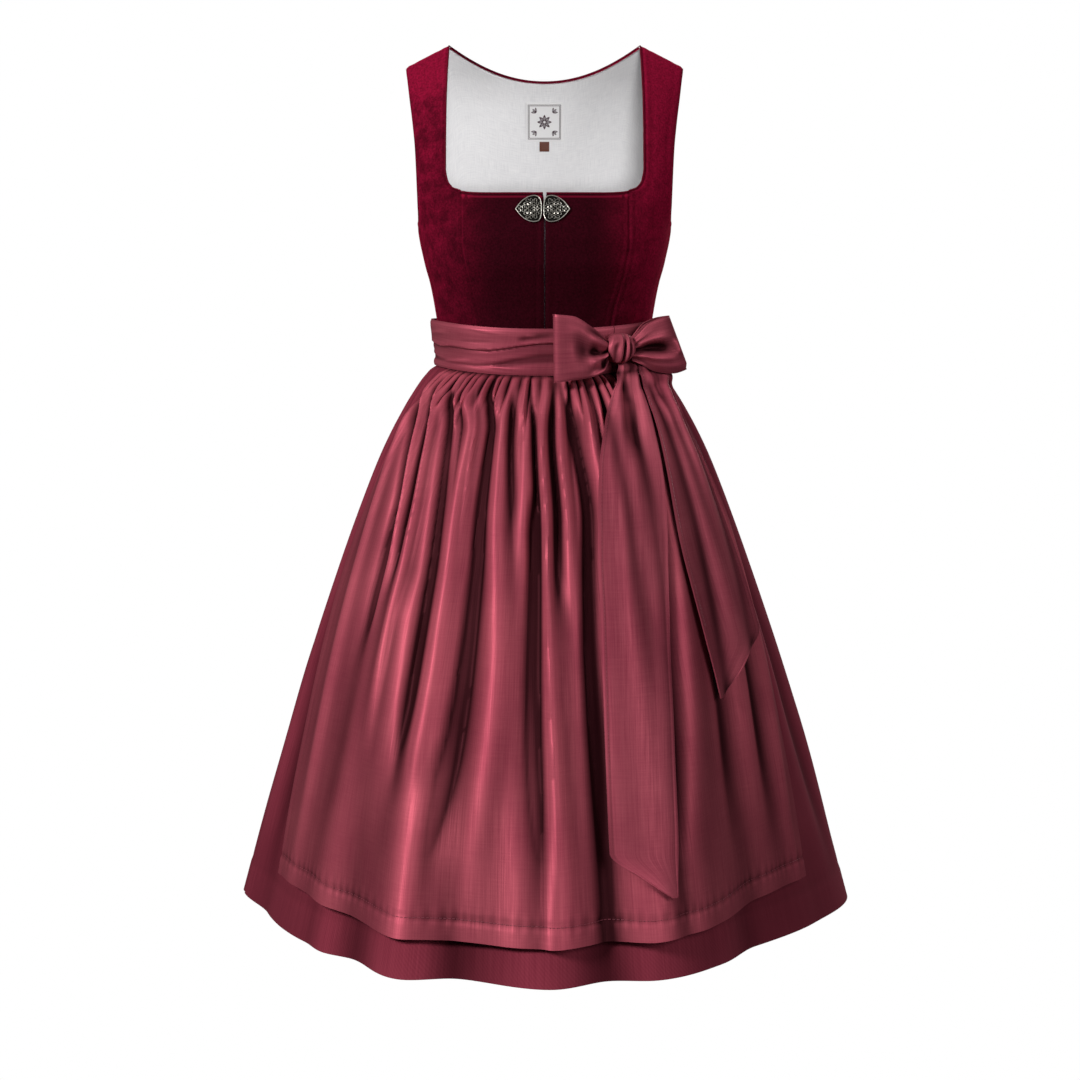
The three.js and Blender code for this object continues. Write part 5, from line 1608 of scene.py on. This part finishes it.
def loop_place(loop):
    turn = math.radians(loop["turn"] * -loop["side"])
    spin = np.array([[math.cos(turn), -math.sin(turn), 0], [math.sin(turn), math.cos(turn), 0], [0, 0, 1]])
    along = spin @ (knot_across * loop["side"])
    out = spin @ knot_out
    root = knot_centre + knot_across * loop["side"] * (KNOT_ACROSS - 2.0)

    def place(u, v):
        step = 1 - u if loop["side"] < 0 else u
        angle = mix(LOOP_MOUTH, math.pi - LOOP_MOUTH, step)
        p = (np.sin(angle) ** 0.85 - LOOP_START) / (1 - LOOP_START)
        height = crowded(v, 0.3)
        top, bottom = read(loop["edges"], "p", p, "top"), read(loop["edges"], "p", p, "bottom")
        reach = mix(loop["reach_bottom"], loop["reach_top"], height) + 2.0
        reach = reach - 0.6 * loop["under"] * (1 - smooth(height / 0.14))
        facing = np.cos(angle)
        layer = np.where(facing > 0, creases(loop["front"], p, height), -creases(loop["back"], p, height))
        fan = 1.6 * (1 - smooth(p / 0.55)) * np.cos(2 * math.pi * 3.5 * height + 0.6)
        depth = facing * (loop["belly"] * np.clip(p, 0, 1) ** 0.7 + 4)
        depth = depth + layer * smooth(np.abs(facing) / 0.35) + fan
        edge = np.minimum(height, 1 - height)
        depth = depth - 0.8 * np.sign(facing) * (1 - smooth(edge / 0.04))
        depth = depth - loop["under"] * smooth(p / 0.4) * smooth(facing) * (1 - smooth(height / 0.16))
        sag = -1.5 * np.sin(math.pi * np.clip(p, 0, 1)) * (1 - height)
        spot = root[:, None] + along[:, None] * reach * p + out[:, None] * depth
        return spot + np.array([0, 0, 1])[:, None] * (mix(bottom, top, height) + sag)

    return place


for word, loop in (("right", loop_right), ("left", loop_left)):
    name = f"bow_loop_{word}_satin"
    piece = cloth(name, 110, 64, loop_place(loop), (0.135, 0.065), TIE_CLOTH, satin_tie, turned=True)
    stands_for(piece, "apron_satin", f"bow_loop_{word}")

# Tails. The free ends of the ties hang from the knot over the apron. They leave the knot pleated, open to
# their full width, and end in slanting points, with narrow edges turned and a line of stitches along one
# edge.
TAIL_CLEARANCE = 1.2
COVER_REACH = 6
COVER_SOFT = 2.5
TAIL_TURNING = 0.055
TAIL_STITCH_LINE = 0.075
TAIL_STITCH_LENGTH = 2.6
TAIL_STITCH_GAP = 1.6
TAIL_THREAD_RADIUS = 0.2
tail_right = columns(
    "t low high",
    [
        (-0.02, 33.2, 41), (-0.008, 31.6, 42.6), (0.012, 28, 39.7), (0.03, 24, 38.2), (0.08, 18.8, 37.2),
        (0.16, 14.6, 36.2), (0.27, 13.4, 34), (0.4, 12.9, 30.8), (0.52, 12.2, 28), (0.66, 11.6, 25.2),
        (0.79, 11.3, 23.4), (0.827, 16.1, 22.8), (0.864, 21.2, 22.3),
    ],
)
tail_left = columns(
    "t low high",
    [
        (-0.04, 45, 52), (-0.012, 43.6, 61), (0.007, 42.2, 62), (0.03, 39.8, 57), (0.057, 38.6, 55.6),
        (0.08, 38.6, 56), (0.16, 37.8, 58), (0.27, 37.2, 60), (0.36, 38.2, 61), (0.46, 39.9, 61.4),
        (0.513, 41.1, 52.2), (0.565, 42.2, 43.4),
    ],
)
# pleats of a tail: place across it near the knot and at its foot, width, rise, and where it ends in t
right_tail_pleats = [
    (0.52, 0.62, 0.17, -6.5, 0.17), (0.17, 0.16, 0.11, 2.6, 0.26), (0.9, 0.9, 0.08, 1.5, 0.2),
    (0.3, 0.42, 0.1, 1.4, 0.6), (0.7, 0.66, 0.14, -1.5, 0.9),
]
left_tail_pleats = [
    (0.42, 0.62, 0.12, -6.5, 0.085), (0.14, 0.12, 0.12, 2.0, 0.26), (0.72, 0.76, 0.12, 3.0, 0.3),
    (0.93, 0.93, 0.06, -1.6, 0.3), (0.45, 0.5, 0.14, 1.6, 0.55), (0.62, 0.7, 0.1, -1.5, 0.6),
]


def apron_cover(angle, t):
    """The height of the apron's highest folds near each place, which a tail lies on."""
    total = 0
    for aside in np.linspace(-COVER_REACH, COVER_REACH, 17):
        total = total + bump_at(aside, COVER_REACH / 2) * np.exp(apron_offset(angle + aside, t) / COVER_SOFT)
    return COVER_SOFT * np.log(total)


def tail_place(table, pleats):
    low_t, high_t = table["t"][0], table["t"][-1]

    def place(u, v, proud=0.0):
        t = mix(low_t, high_t, (1 - v) ** 1.05)
        across = crowded(u, 0.45)
        angle = mix(read(table, "t", t, "low"), read(table, "t", t, "high"), across)
        cover = np.maximum(np.maximum(apron_cover(angle, t), apron_cover(angle, t + 0.02)), 2)
        below_sash = 6.2 * (1 - smooth(t / 0.03))
        waves = 0 * u
        for head, foot, width, rise, end in pleats:
            line = mix(head, foot, np.clip(t / end, 0, 1))
            shown = 1 - smooth((t - 0.3 * end) / (0.7 * end))
            waves = waves + rise * shown * bump_at(across - line, width)
        edge = np.minimum(across, 1 - across)
        turned = 0.35 * (1 - smooth((edge - TAIL_TURNING) / 0.012))
        turned = turned - 0.4 * bump_at(edge - TAIL_TURNING, 0.012)
        puffed = 3.5 * (1 - smooth((t - 0.06) / 0.2)) * smooth((t + 0.02) / 0.03)
        raised = TAIL_CLEARANCE + TIE_CLOTH + puffed
        offset = cover + below_sash + raised + np.maximum(waves, -3.5) + turned + proud
        return skirt(angle, t, offset)

    return place


for word, table, pleats, flat, area, along in [
    ("right", tail_right, right_tail_pleats, (0.09, 0.54), 0.034, 190),
    ("left", tail_left, left_tail_pleats, (0.11, 0.36), 0.026, 140),
]:
    place = tail_place(table, pleats)
    tail = cloth(f"tie_tail_{word}_satin", 54, along, place, (0.068, flat[1]), TIE_CLOTH, satin_tie)
    stands_for(tail, "apron_satin", f"tie_tail_{word}")
    down = np.linspace(0.97, 0.2, 400)
    edge_line = place(np.full_like(down, TAIL_STITCH_LINE), down, 0.1)
    name = f"tie_tail_{word}_stitches"
    thread = stitches(
        name, edge_line, TAIL_STITCH_LENGTH, TAIL_STITCH_GAP, TAIL_THREAD_RADIUS, sewing_thread
    )
    stands_for(thread, "apron_satin")
